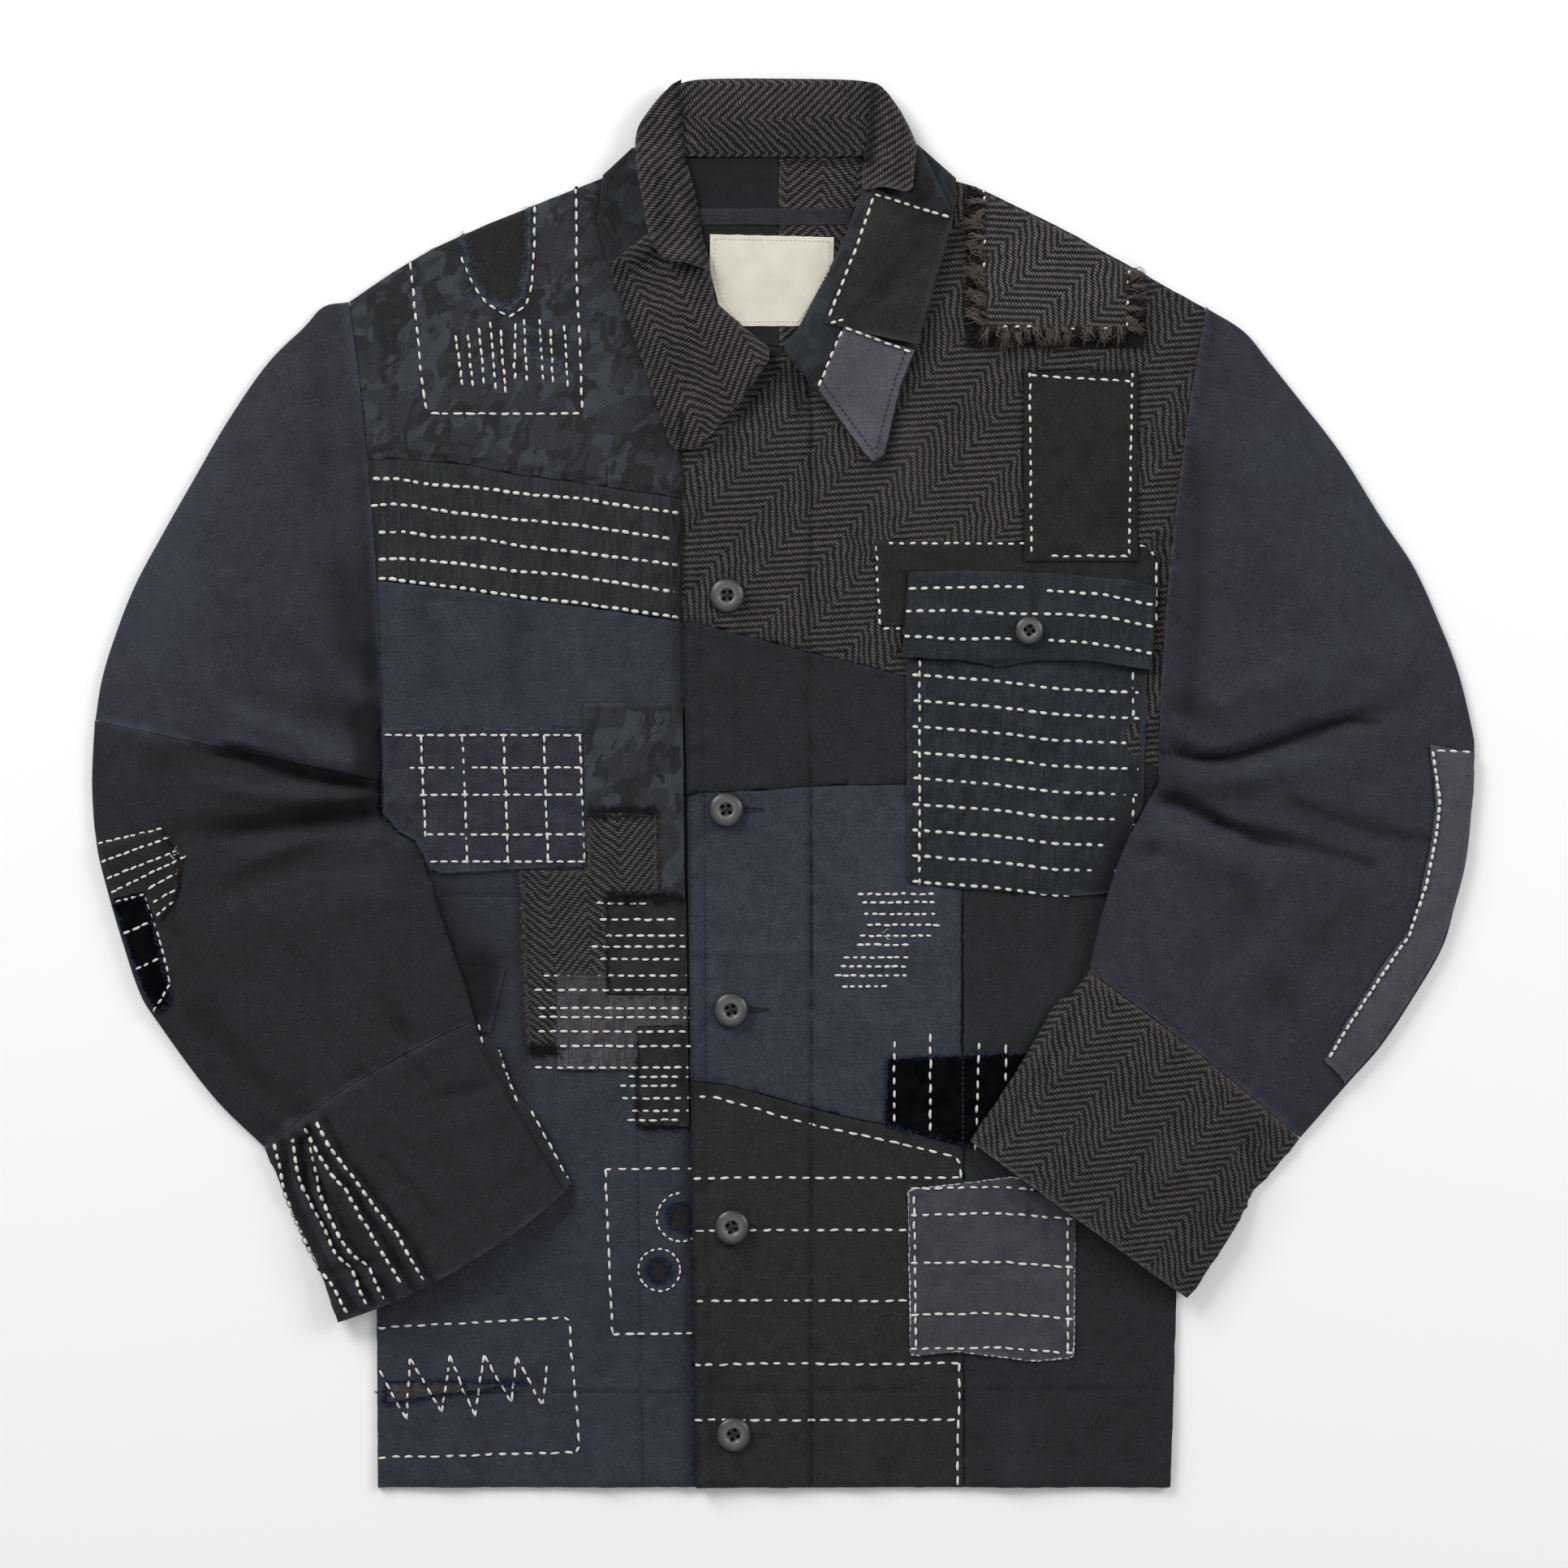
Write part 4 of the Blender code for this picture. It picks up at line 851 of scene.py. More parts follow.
# Painted shade on the fronts and collar, darkening folds, edges and seams and the cloth beside and under other parts
# where shade falls: line, how dark, half width.
SHADE_LINES = [
    ([(-56.8, 205), (-56.6, 89), (-54.1, -6), (-52.3, -168), (-51.4, -240), (-49, -389)], 0.85, 1.5),
    ([(-195, -50), (-181, -89), (-170, -120)], 0.5, 9),
    ([(-170, -60), (-165, -95)], 0.28, 20),
    ([(-165, -102), (-168, -128)], 0.72, 10),
    ([(-146.5, -50), (-145.5, -100), (-143.5, -150)], 0.45, 3.5),
    ([(-155, -150), (-143, -165)], 0.35, 7),
    ([(-147.5, 99), (-150, 72), (-152, 48)], 0.26, 7),
    ([(-200, 96), (-193, 58)], 0.22, 7),
    ([(-201, 106.5), (-157, 101)], 0.35, 2.5),
    ([(-229.5, 190), (-226, 110), (-222.5, 30)], 0.55, 1.4),
    ([(-203, -36), (-200, -47)], 0.6, 3),
    ([(-225, 185), (-174, 180.5), (-119, 171.5), (-57, 161.5)], 0.75, 1.0),
    ([(72, 68.5), (107, 67), (137, 68), (167, 66), (200, 62)], 0.85, 1.8),
    ([(138.4, 106), (138.3, 90)], 0.4, 2.2),
    ([(67.5, 117), (66.5, 68)], 0.6, 1.2),
    ([(206.3, 109), (202.8, 62)], 0.6, 1.2),
    ([(132.5, 228), (132.5, 123.2), (196, 123.2), (196, 228.3), (132.5, 228.3)], 0.65, 1.2),
    ([(176, 197), (167, 178)], 0.22, 5),
    ([(208, 136), (213, 30)], 0.35, 4),
    ([(6.2, 233), (7.5, 205)], 0.5, 3.5),
    ([(74, 234), (61, 196), (52, 176)], 0.4, 5),
    ([(-8.7, 236), (-18.7, 208), (-41, 184)], 0.4, 4),
    ([(-99, 340), (-98, 290), (-88, 235), (-70, 196)], 0.42, 9),
    ([(-57, 385), (-55.5, 368), (-53, 348)], 0.6, 3),
    ([(49, 385), (47.6, 366), (46.4, 347)], 0.75, 4.5),
    ([(-54, 345.6), (46.5, 345.6)], 0.7, 2.6),
    ([(-50, 333), (-47.5, 313), (-42, 289)], 0.45, 3),
    ([(35, 258), (54, 276), (74, 298)], 0.4, 3.5),
    ([(79, 323), (71, 303)], 0.25, 5),
    ([(202, -10), (193, -32), (178, -58)], 0.5, 10),
]
# Painted shade on the sleeves and cuffs, darkest in their creases and by the armholes; the two rows with negative
# amounts paint light onto the sleeves' outer sides: line, how dark, half width.
SHADE_LINES_ARMS = [
    *[(line, 0.5, 1.5) for line in VALLEYS],
    ([(-307, 20.8), (-285.4, 14.8), (-263.9, 8.3), (-242, 3.5), (-224, 0.4)], 0.85, 2.6),
    ([(-350, 14.8), (-302, 12.4), (-264, 5), (-228, -0.5)], 0.38, 7),
    ([(-333.5, -23.6), (-302, -22.9), (-273.5, -21.2), (-249.5, -17.6), (-223, -10.4)], 0.42, 7),
    ([(-262, -17.5), (-243, -14.5), (-222, -11)], 0.7, 6.5),
    ([(-254, 45), (-225, 33)], 0.4, 10),
    ([(-307, 57), (-283, 47), (-254, 39), (-225, 28)], 0.3, 8),
    ([(-229, 70), (-227, 30), (-226, 2)], 0.5, 7),
    ([(-231, 34), (-229, 6)], 0.88, 8),
    ([(-243, 112), (-238, 76)], 0.45, 14),
    ([(-335, 205), (-352, 90)], -0.35, 32),
    ([(300, 190), (330, 100)], -0.2, 32),
    ([(-302, -58.4), (-275, -48), (-249.5, -36.8)], 0.3, 3),
    ([(-336, -70), (-330, -100)], 0.25, 8),
    ([(-221, -116), (-208, -136)], 0.35, 5),
    ([(-326, -125), (-309, -145), (-271, -178)], 0.35, 6),
    ([(-232, 215), (-231, 120), (-228, 60)], 0.35, 5),
    ([(-256.4, -273.4), (-245.4, -265.3), (-228.9, -263.1), (-211.3, -255.8)], 0.75, 1.6),
    ([(-220, -203), (-193.7, -234.9)], 0.35, 3),
    ([(-195.9, -181), (-158.5, -175.5)], 0.35, 2.3),
    ([(-207, -149), (-196, -160)], 0.4, 2.3),
    ([(-167, -146), (-145, -184), (-123.3, -221.7)], 0.6, 1.3),
    (
        [
            (209, 17.5), (224.4, 15.3), (239.8, 14), (257.4, 18), (277.2, 24.6), (294.8, 31.2), (310, 35.6),
            (328, 34.5)
        ],
        0.85, 1.9
    ),
    ([(209, 5), (229, 1), (251, -3)], 0.4, 8),
    ([(210, -5.5), (224.4, -10.8), (240, -19.5)], 0.72, 4.5),
    ([(239.8, -21.6), (261.8, -24.9), (283.8, -30.4), (305.8, -38.1), (323.4, -43.2)], 0.65, 3.2),
    ([(279.4, -8.4), (299.2, -16.1), (327.8, -24.9), (354.2, -29.3)], 0.6, 4),
    ([(217.8, 44.4), (237.6, 37.8)], 0.5, 9),
    ([(250.8, 46.6), (283.8, 57.6)], 0.28, 6),
    ([(319, 40), (349.8, 53.2)], 0.22, 6),
    ([(248.6, -48), (255, -65.6)], 0.18, 8),
    ([(292.6, -85.4), (314.6, -65.6)], 0.34, 9),
    ([(270.6, -105), (279.4, -122.8)], 0.22, 8),
    ([(358.6, -56.8), (365, -74.4)], 0.3, 4),
    ([(229, 180), (228, 100), (223, 40)], 0.38, 7),
]
# pieces that get no painted shade
UNSHADED = ("cloth_patch_l_grid", "cloth_neck_label")


def slack(x, y):
    """The small unevenness of washed cotton."""
    return 0.34 * noise(x, y, 12, 1, 2) + 0.8 * noise(x, y, 44, 2)


# Hems and edges that are turned and stitched: the cloth ropes slantwise along them.
# A row is: line, width of the turned part, height.
ROPED = [
    ([(-57, 205), (-57, 89), (-54, -5), (-52, -168), (-51, -240), (-49, -389)], 9, 1.1),
    ([(-226, -389), (-51, -389)], 18, 0.6),
    ([(-49, -389), (216, -389)], 18, 0.6),
    ([(-225, 180), (-174, 176), (-119, 168), (-57, 158)], 5, 0.4),
    ([(-57, 90), (-110, 98), (-225, 113)], 5, 0.4),
]


def roping(x, y):
    out = np.zeros(np.shape(x))
    for k, (line, wide, height) in enumerate(ROPED):
        m = box_mask(line, x, y, wide)
        if m.any():
            d, s, *_ = nearest(line, x[m], y[m])
            ropes = noise(s + 0.8 * d, 40 * k + 0 * s, 5.5, 13, 2)
            out[m] += height * ropes * smooth((wide - d) / 5) * smooth(0.3 + d / 3)
    return out


def relief_of(folding, hand, machine):
    pucks = [(r[0], 0.3, 2.6 * r[3], r[4], 5.2) for r in hand] + [
        (r, 1.6 * deep + 0.3, 0.7, 5.5, 6.5) for r, deep in machine
    ]
    return lambda x, y: folds(folding, x, y) + puckers(pucks, x, y) + roping(x, y) + slack(x, y)


CREASES += [curve(r, 12) if len(r) > 2 else r for r, _ in MACHINE_L + MACHINE_R]
stand_l = relief_of(FOLDS_L, HAND_L, MACHINE_L)
stand_r = relief_of(FOLDS_R, HAND_R, MACHINE_R)


# ------------------------------------------------------------------ flat pieces
def piece(
    node, mat, wall=CLOTH, relief=level, lift=None, passes=14, pitch=2.9, grain=0.0, rests=("cloth_back_panel",),
    keep=0.75, under=None, cut=None, **more
):
    """The cloth that stands for a flat CAD piece, laid on the stack.

    cut is its true outline where it runs on under another."""
    (ring, *holes), area = outlines(node)
    if cut:
        ring, holes = cut, []
        area = abs(area_of(ring))
    if under is None:
        rest = draped(ring, passes)
        under = rest if lift is None else (lambda x, y: rest(x, y) + lift(x, y))

    def low(x, y):
        return under(x, y) + np.clip(relief(x, y), 0, None) * keep

    def stand(x, y):
        r = relief(x, y)
        return r - np.clip(r, 0, None) * keep

    obj = sheet("cloth_" + node, ring, mat, wall, low, stand, pitch, grain, holes=holes, replaces=node, **more)
    xs, ys = zip(*ring)
    w, h = (max(max(c) - min(c), 10) * MM for c in (xs, ys))
    list(rests)
    return obj


# Soft ridges in the fronts: from, to, height, half width
RIDGES = [
    ((-170, 60), (-120, -100), 1.1, 46),
    ((-140, -210), (-180, -330), 1.0, 48),
    ((60, 210), (110, 120), 1.1, 46),
    ((60, -80), (40, -300), 1.0, 48),
    ((170, -330), (150, -240), 0.9, 46),
]


def lie(x, y):
    out = np.zeros(np.shape(x))
    for a, b, height, width in RIDGES:
        out = np.maximum(out, height * (1 - smooth(distance([a, b], x, y) / width)))
    return out


piece("back_panel", BLACK, relief=slack, under=level, keep=0, pitch=8, rests=())
# the left neck lining is in the darkened black twill: painted shade inside the neck
for node, mat in (("neck_lining_l", BLACK_IN_SHADE), ("neck_lining_r", TWEED_COLLAR)):
    piece(node, mat, 0.8, pitch=2.5, grain=-5, slide=7.9, relief=lambda x, y: 0.15 * noise(x, y, 14, 4))
piece("neck_tape", TAPE, 0.5, pitch=2, relief=lambda x, y: 0.12 * noise(x, y, 9, 5))
piece("neck_label", CREAM, 0.5, pitch=1.6, relief=lambda x, y: 0.2 * noise(x, y, 16, 6))
# The yoke is worn through from the shoulder's edge down, and brown cloth is set behind it.
WORN_THROUGH = [
    (-141.5, 319.2), (-142, 285), (-145.5, 270), (-152, 263.5), (-162.5, 266.5), (-173, 281), (-177, 304.4)
]
YOKE = outlines("front_l_yoke")[0][0]
at = min(range(len(YOKE)), key=lambda k: math.hypot(YOKE[k][0] + 164.3, YOKE[k][1] - 310.3))
YOKE = YOKE[:at] + (WORN_THROUGH if YOKE[at - 1][0] > YOKE[at][0] else WORN_THROUGH[::-1]) + YOKE[at + 1 :]
piece(
    "backing_yoke", BROWN, 0.8, pitch=1.6, relief=lambda x, y: 0.4 * noise(x, y, 9, 4, 2), lift=lie,
    cut=[
        (-179.5, 302.8), (-176, 281), (-166, 262), (-151.7, 257), (-139.5, 265), (-135.5, 285), (-137, 320.4),
        (-164.3, 309.6)
    ]
)
for node, mat in (("backing_slit", SLIT_CLOTH), ("backing_spot_1", BROWN), ("backing_spot_2", BROWN)):
    piece(node, mat, 0.8, pitch=1.6, relief=lambda x, y: 0.2 * noise(x, y, 5, 4), lift=lie)
for node, mat, cut in (
    ("front_l_yoke", CAMO, YOKE), ("front_l_band", BAND, None), ("front_l_panel", PANEL_NAVY, None)
):
    piece(node, mat, relief=stand_l, lift=lie, passes=4, cut=cut, rim=0.3, drop=0.85)
CLOSURE = [(-56.3, 207), (-56.3, 89), (-53.6, -5.6), (-51.8, -167.6), (-50.9, -239.6), (-48.6, -389)]


def placket(x, y):
    """The closure's doubled edge: a bead along it, and a facing that ends at its own line of stitches."""
    d = distance(CLOSURE, x, y)
    low = smooth((215 - np.asarray(y)) / 14)
    return lie(x, y) + low * (1.0 * smooth((14.5 - x) / 1.6) + 1.5 * (1 - smooth((d - 1.5) / 8)))


for node, mat, grain, slide in (
    ("front_r_upper", TWEED, -41, 22.4), ("front_r_mid", BLACK, 0, 0), ("front_r_slate", SLATE, 0, 0),
    ("front_r_side", BLACK, 0, 0), ("front_r_lower", WASHED, 0, 0)
):
    piece(node, mat, relief=stand_r, lift=placket, passes=40, grain=grain, slide=slide, rim=0.3, drop=0.85)


def patch(node, mat, side, wall=PATCH, passes=10, pitch=2.05, grain=0.0, ripple=0.75, **more):
    stand = stand_l if side < 0 else stand_r
    return piece(
        node, mat, wall, lambda x, y: ripple * stand(x, y) + 0.15 * noise(x, y, 7, 8), None, passes, pitch, grain,
        more.pop("rests", ("cloth_front_l_panel" if side < 0 else "cloth_front_r_upper",)), **more
    )


patch("patch_l_camo", CAMO, -1)
SPOT = [(-142.5, 247.6), (-139, 248.4), (-136.3, 247.2), (-136.6, 243.2), (-139.6, 242.4), (-143, 243.6)]
sheet("cloth_darned_spot", SPOT, BROWN, 0.3, draped(SPOT, 2, 0.05), level, 1.2, wobble=0.3)
patch("patch_l_grid", GRIDCLOTH, -1, wobble=0.9)
patch(
    "patch_l_tweed", TWEED_PATCH, -1, grain=5, slide=30.8, wobble=0.9,
    rests=("cloth_patch_l_camo", "cloth_front_l_panel")
)
patch("patch_l_brown_upper", WASHED, -1, wobble=0.5)
patch("patch_l_mauve", MAUVE, -1, wobble=0.5)
patch("patch_l_brown_lower", WASHED, -1, wobble=0.7)
patch("welt_l", PANEL_NAVY, -1, wobble=0.2)
patch("patch_r_behind_flap", BROWN, 1)
patch("patch_r_tall", BROWN, 1, rests=("cloth_patch_r_behind_flap", "cloth_front_r_upper"))
patch("pocket_bag", POCKET, 1, 1.2, rests=("cloth_front_r_slate", "cloth_patch_r_behind_flap"), ripple=1.0)
patch("pocket_flap", POCKET, 1, 1.4, 20, rests=("cloth_pocket_bag", "cloth_patch_r_behind_flap"), ripple=0.5)
patch("patch_r_velvet", VELVET, 1, wobble=0.5, rests=("cloth_front_r_slate",))
patch("patch_r_grey", GREY_PATCH, 1, wobble=0.5, rests=("cloth_front_r_lower",))
patch(
    "patch_shoulder", TWEED_SHOULDER, 1, wobble=0.3, grain=-47, slide=6,
    cut=[(110.5, 252), (190.5, 252), (190.5, 286), (150.8, 308), (119.4, 323), (110.5, 327)]
)
patch(
    "patch_shoulder_fringe", FRAYED_GROUND, 1, 0.8, wobble=0.8,
    cut=[
        (110.2, 326.9), (100.6, 331.2), (100.6, 242), (199.8, 242), (199.8, 281.2), (190.8, 285.8), (190.8, 251.7),
        (110.2, 251.7)
    ]
)

# Dark triangles where sleeve and body meet under the arms: sheets of the darkened black that paint the shade there.
for word, ring in (
    ("l", [(-238, 26), (-212, 26), (-200, -20), (-196, -52), (-207, -52), (-232, -14)]),
    ("r", [(230, 20), (199, 24), (190, -20), (196, -46), (204, -44), (226, -12)])
):
    sheet("cloth_underarm_" + word, ring, BLACK_IN_SHADE, 0.4, lambda x, y: 1.6 + 0 * x, level, 4)

# ------------------------------------------------------------------ sleeves and cuffs
FRONT_TOP = 3.5  # a flattened sleeve's least thickness
ARM_LOFT = 9.0  # air in the sleeves at their fullest
ARM_OVER = 5.9  # how high the sleeves' underside is where they lie on the fronts
BODY_SIDE = 226.0  # across to either side seam
ELBOW = 30  # the height at which the sleeves bend
# outer fold, inner fold, bow down the arm, lift of the inner side over the fronts
ARM_L_UPPER = [
    ((-241, 267), (-223.3, 1.6), -5.0, 0),
    ((-255, 264.5), (-223.5, 1.65), -4.0, 0),
    ((-266, 253), (-223.8, 1.7), -3.0, 0),
    ((-286, 233), (-224.1, 1.75), -2.0, 0),
    ((-308, 201.4), (-224.3, 1.8), 0, 0),
    ((-326.3, 170), (-224.5, 1.85), 0, 0),
    ((-344.3, 138.4), (-224.7, 1.9), 0, 0),
    ((-360, 109), (-224.9, 1.95), 0, 0),
    ((-371.3, 80), (-225.1, 2.0), 0, 0),
    ((-378, 57.4), (-225.3, 2.05), 0, 0),
    ((-381.6, 35.3), (-225.5, 2.1), 0, 0),
]
ARM_L_LOWER = [
    ((-381.9, 35.15), (-223.3, 1.2), 0, 0),
    ((-383.4, 3.4), (-223.2, -8), 0, 0),
    ((-382.5, -19), (-222.4, -16), 0, 0),
    ((-381.2, -30), (-214.6, -26.8), 0, 0),
    ((-379.4, -41.6), (-204.8, -32.6), 0, 0),
    ((-373.5, -64), (-200.3, -41.6), 0, 0),
    ((-366.8, -86.6), (-194, -60), 0, 1),
    ((-357.8, -113.6), (-186.8, -82), 0, 1),
    ((-348.8, -129.4), (-181, -98), 0, 1),
    ((-317.3, -172), (-175.5, -113.6), -3, 1),
    ((-288, -201.2), (-171, -130.5), -5, 1),
]
CUFF_L = [
    ((-287.8, -201.6), (-170.8, -130.9), -5, 1),
    ((-279, -221.6), (-166, -144), -2, 1),
    ((-265, -252.7), (-147.6, -177.5), 3, 1),
    ((-255.6, -273.4), (-134, -203), 6, 1),
    ((-246.6, -297.5), (-121.5, -225.7), 7, 1),
]
ARM_R = [
    ((234, 263.8), (207.4, 5.5), -5.5, 0),
    ((254.3, 251), (207.7, 4.5), -4, 0),
    ((267.8, 235), (207.9, 3.5), -2, 0),
    ((285.8, 212.6), (208, 2.5), 0, 0),
    ((308.3, 183.4), (208, 1.5), 0, 0),
    ((330.8, 147.4), (207.8, 0.5), 0, 0),
    ((348.8, 120.4), (207.4, -0.5), 0, 0),
    ((362.3, 91), (206.8, -1.5), 0, 0),
    ((373.5, 62), (206, -2.7), 0, 0),
    ((381.2, 30.4), (204.8, -4.2), 0, 0),
    ((382.5, 17), (204, -5.5), 0, 0),
    ((381.2, -10), (203, -7), 0, 0),
    ((378, -41.6), (193.5, -24), 0, 1),
    ((371.3, -68.6), (187, -38), 0, 1),
    ((364.5, -91), (182.3, -50.6), 0, 1),
    ((348.8, -118), (177, -68), 0, 1),
    ((330.8, -145), (173.3, -82), 0, 1),
    ((312.8, -165.4), (170.8, -93), -1, 1),
    ((286, -196), (168.8, -103.5), -2, 1),
]
CUFF_R = [
    ((285.6, -196.5), (168.4, -103.9), -2, 1),
    ((270, -215.5), (158, -117), -1, 1),
    ((259, -226.5), (149.4, -123.5), 0, 1),
    ((252.5, -241), (127, -160), 0, 1),
    ((239.4, -260.8), (115, -179), 0, 1),
    ((223.3, -284.5), (102.8, -197.2), 0, 1),
]

CUFF_SEWING = [
    [(-258, -186), (-247, -204), (-236, -217), (-224, -234), (-212, -249), (-198, -274)],
    [(-265, -190), (-250, -214), (-241, -223), (-233, -238), (-223, -254), (-208, -279)],
    [(-261, -200), (-257, -223), (-251, -237), (-243, -253), (-236, -261), (-228, -267), (-220, -285)],
    [(-272, -189), (-270, -206), (-268, -218), (-261, -233), (-253, -246), (-248, -258), (-238, -268), (-230, -287)],
    [(-282, -199), (-279, -210), (-277, -224), (-271, -240), (-265, -253), (-258, -267), (-249, -277), (-241, -292)],
]
HAND_ARM_L = [
    *sewn(CUFF_SEWING, 3.8, 1.8, 0.7, 5, 2.1),
    *sewn(
        [[(-169, -133), (-166.5, -143)], [(-158.4, -146.3), (-147.2, -176.6)], [(-139.5, -180.2), (-118.8, -219.8)]],
        3.6, 2.8, 0.2, 4
    ),
    *sewn(
        [
            ((-380, -33.2), (-342.9, -24.5)), ((-378, -43.2), (-338.9, -29.5)), ((-375, -52.6), (-334, -36.5)),
            ((-372.5, -60.3), (-330, -40)), ((-351, -58), (-337, -50)), ((-348, -65.5), (-336, -58)),
            ((-346.5, -73), (-337, -65))
        ],
        3.4, 1.6, 0.3, 4
    ),
    *sewn(
        [
            [(-370, -65.6), (-353.3, -61)], [(-353, -62), (-343, -93), (-339, -111), (-349, -126)],
            [(-366, -83), (-351, -76.7)], [(-359, -102.8), (-345.6, -96.5)]
        ],
        3.2, 1.9, 0.2, 4
    ),
]
HAND_ARM_R = [
    (
        [
            (358, 18), (362, -9), (360, -29), (354.5, -56), (345, -84), (335, -98), (325, -113), (313, -131),
            (301, -151)
        ],
        3.4, 1.0, 0.3, 6, 1.9
    ),
    ([(360, 18.4), (380, 17.6)], 4.2, 2.6, 0.1, 3, 1.5),
]
FOLDS_ARM_L = [
    ([(-286, 222), (-282, 150), (-262, 92), (-240, 58)], 1.6, 17, "a"),
    ([(-252, 240), (-248, 165), (-238, 101), (-229, 62)], -3.2, 10, "ab"),
    ([(-292, 92), (-258, 58), (-237, 24), (-225, 9)], -4.2, 8.5, "b"),
    ([(-345, 84), (-290, 62), (-240, 44)], -1.8, 13, ""),
    ([(-330, 52), (-290, 34), (-255, 20), (-224, 10)], 4.2, 9, "b"),
    ([(-345, 20), (-296, 14), (-278, 6.5), (-254, 0.5), (-224, -2.5)], -10.5, 4.6, "b"),
    ([(-342, 6), (-290, -5), (-242, -8.5), (-221, -8)], 4.0, 6.5, "b"),
    ([(-336, -30), (-290, -25), (-264, -21), (-242, -18), (-219, -13)], -11, 7, "b"),
    ([(-318, -42), (-268, -33), (-216, -24)], 3.4, 10, "b"),
    ([(-334, -73), (-280, -46), (-219, -18)], -3.0, 6, "b"),
    ([(-300, -84), (-250, -60), (-204, -40)], 2.2, 15, "b"),
    ([(-326, -108), (-300, -162)], -3.4, 9, ""),
    ([(-350, -84), (-322, -140)], 1.2, 11, ""),
    ([(-216, -128), (-203, -152)], -3.2, 5, ""),
    ([(-242, -128), (-222, -162)], 1.3, 9, ""),
    ([(-262, -80), (-266, -150)], -1.8, 14, ""),
    ([(-297, -95), (-286, -160)], 1.0, 14, ""),
    ([(-208, -181), (-178, -172), (-150, -163)], -3.4, 5, "b"),
    ([(-205, -194), (-158, -180)], 1.6, 8, "b"),
    ([(-166, -230), (-124, -205)], -1.8, 4, "b"),
    ([(-257, -274), (-245.4, -266), (-228.9, -264), (-211.3, -256.5)], -2.6, 2.6, ""),
    ([(-330, 150), (-318, 105)], -1.6, 13, ""),
    ([(-310, 185), (-300, 120)], 0.9, 14, ""),
    ([(-350, 45), (-356, -10)], 0.9, 12, ""),
    ([(-181, -84), (-194, -94)], -2.5, 3, "a"),
    *[([(x - 1.2, y - 0.6) for x, y in row], 4.6, 2.8, "ab") for row in CUFF_SEWING],
    *[(line, -3.4, 2.0, "ab") for line in VALLEYS],
]
FOLDS_ARM_R = [
    ([(258, 245), (268, 170), (268, 100)], 1.5, 16, "a"),
    ([(232, 240), (226, 125), (218, 50)], -3.2, 10, "ab"),
    ([(290, 176), (301, 138), (306, 100)], -2.4, 14, ""),
    ([(215, 36), (245, 44), (290, 60), (340, 82)], 3.4, 13, "a"),
    ([(206, 22), (228, 13), (246, 14), (268, 21), (310, 34), (350, 44)], -10.5, 4.6, "a"),
    ([(206, 4), (236, -1), (272, 9), (322, 22)], 4.4, 9, "a"),
    ([(202, -9), (224, -14), (240, -23), (262, -32), (304, -42)], -8.5, 5, "a"),
    ([(200, -26), (228, -33), (262, -48), (300, -58)], 3.0, 11, "a"),
    ([(312, 8), (330, -9)], -2.8, 8, ""),
    ([(340, 30), (346, -30)], 0.9, 12, ""),
    ([(247, -62), (257, -110)], -2.8, 11, ""),
    ([(274, -102), (278, -152)], -2.8, 11, ""),
    ([(231, -126), (244, -157)], -2.2, 9, ""),
    ([(262, -72), (268, -130)], 1.2, 10, ""),
    ([(216, -60), (222, -110)], 1.1, 12, ""),
    ([(185, -45), (214, -33)], -2.4, 5, "a"),
    ([(335, 125), (342, 80)], -1.8, 13, ""),
    ([(310, 160), (322, 110)], 0.9, 13, ""),
    ([(302, -86), (306, -145)], 1.0, 11, ""),
    ([(200, -158), (184, -192)], -2.2, 9, ""),
    ([(222, -190), (202, -226)], 2.2, 10, ""),
    ([(150, -150), (170, -165)], 1.6, 9, ""),
    ([(247, -178), (252, -195), (262, -221)], -3.0, 3.2, ""),
    ([(241, -180), (247, -200), (256, -224)], 2.0, 5, ""),
    ([(272, -214), (262, -226)], -2.0, 4, "ab"),
    ([(154.5, -123), (144.5, -142), (122.5, -177), (108, -196)], 2.4, 3.4, "ab"),
    ([(161, -130), (151, -149), (129, -184), (117, -199)], -1.8, 2.4, "ab"),
    ([(112, -186), (140, -200), (170, -222), (222, -270)], -0.9, 2.6, ""),
]


def chord(outer, inner, bow, v):
    """A place on a sleeve's cross-section, seen from above.

    v runs from its outer fold to its inner one, and the bow bends it down the arm."""
    (ax, ay), (bx, by) = outer, inner
    length = math.hypot(bx - ax, by - ay)
    nx, ny = (by - ay) / length, -(bx - ax) / length
    if ny > 0:
        nx, ny = -nx, -ny
    k = 4 * v * (1 - v) * bow
    return ax + (bx - ax) * v + nx * k, ay + (by - ay) * v + ny * k


def armhole(row, n=12):
    return [chord(row[0], row[1], row[2], k / n) for k in range(n + 1)]


OUTER_L = [r[0] for r in ARM_L_UPPER + ARM_L_LOWER + CUFF_L]
INNER_L = armhole(ARM_L_UPPER[0]) + [r[1] for r in ARM_L_LOWER + CUFF_L]
OUTER_R = [r[0] for r in ARM_R + CUFF_R]
INNER_R = armhole(ARM_R[0]) + [r[1] for r in ARM_R + CUFF_R][1:]


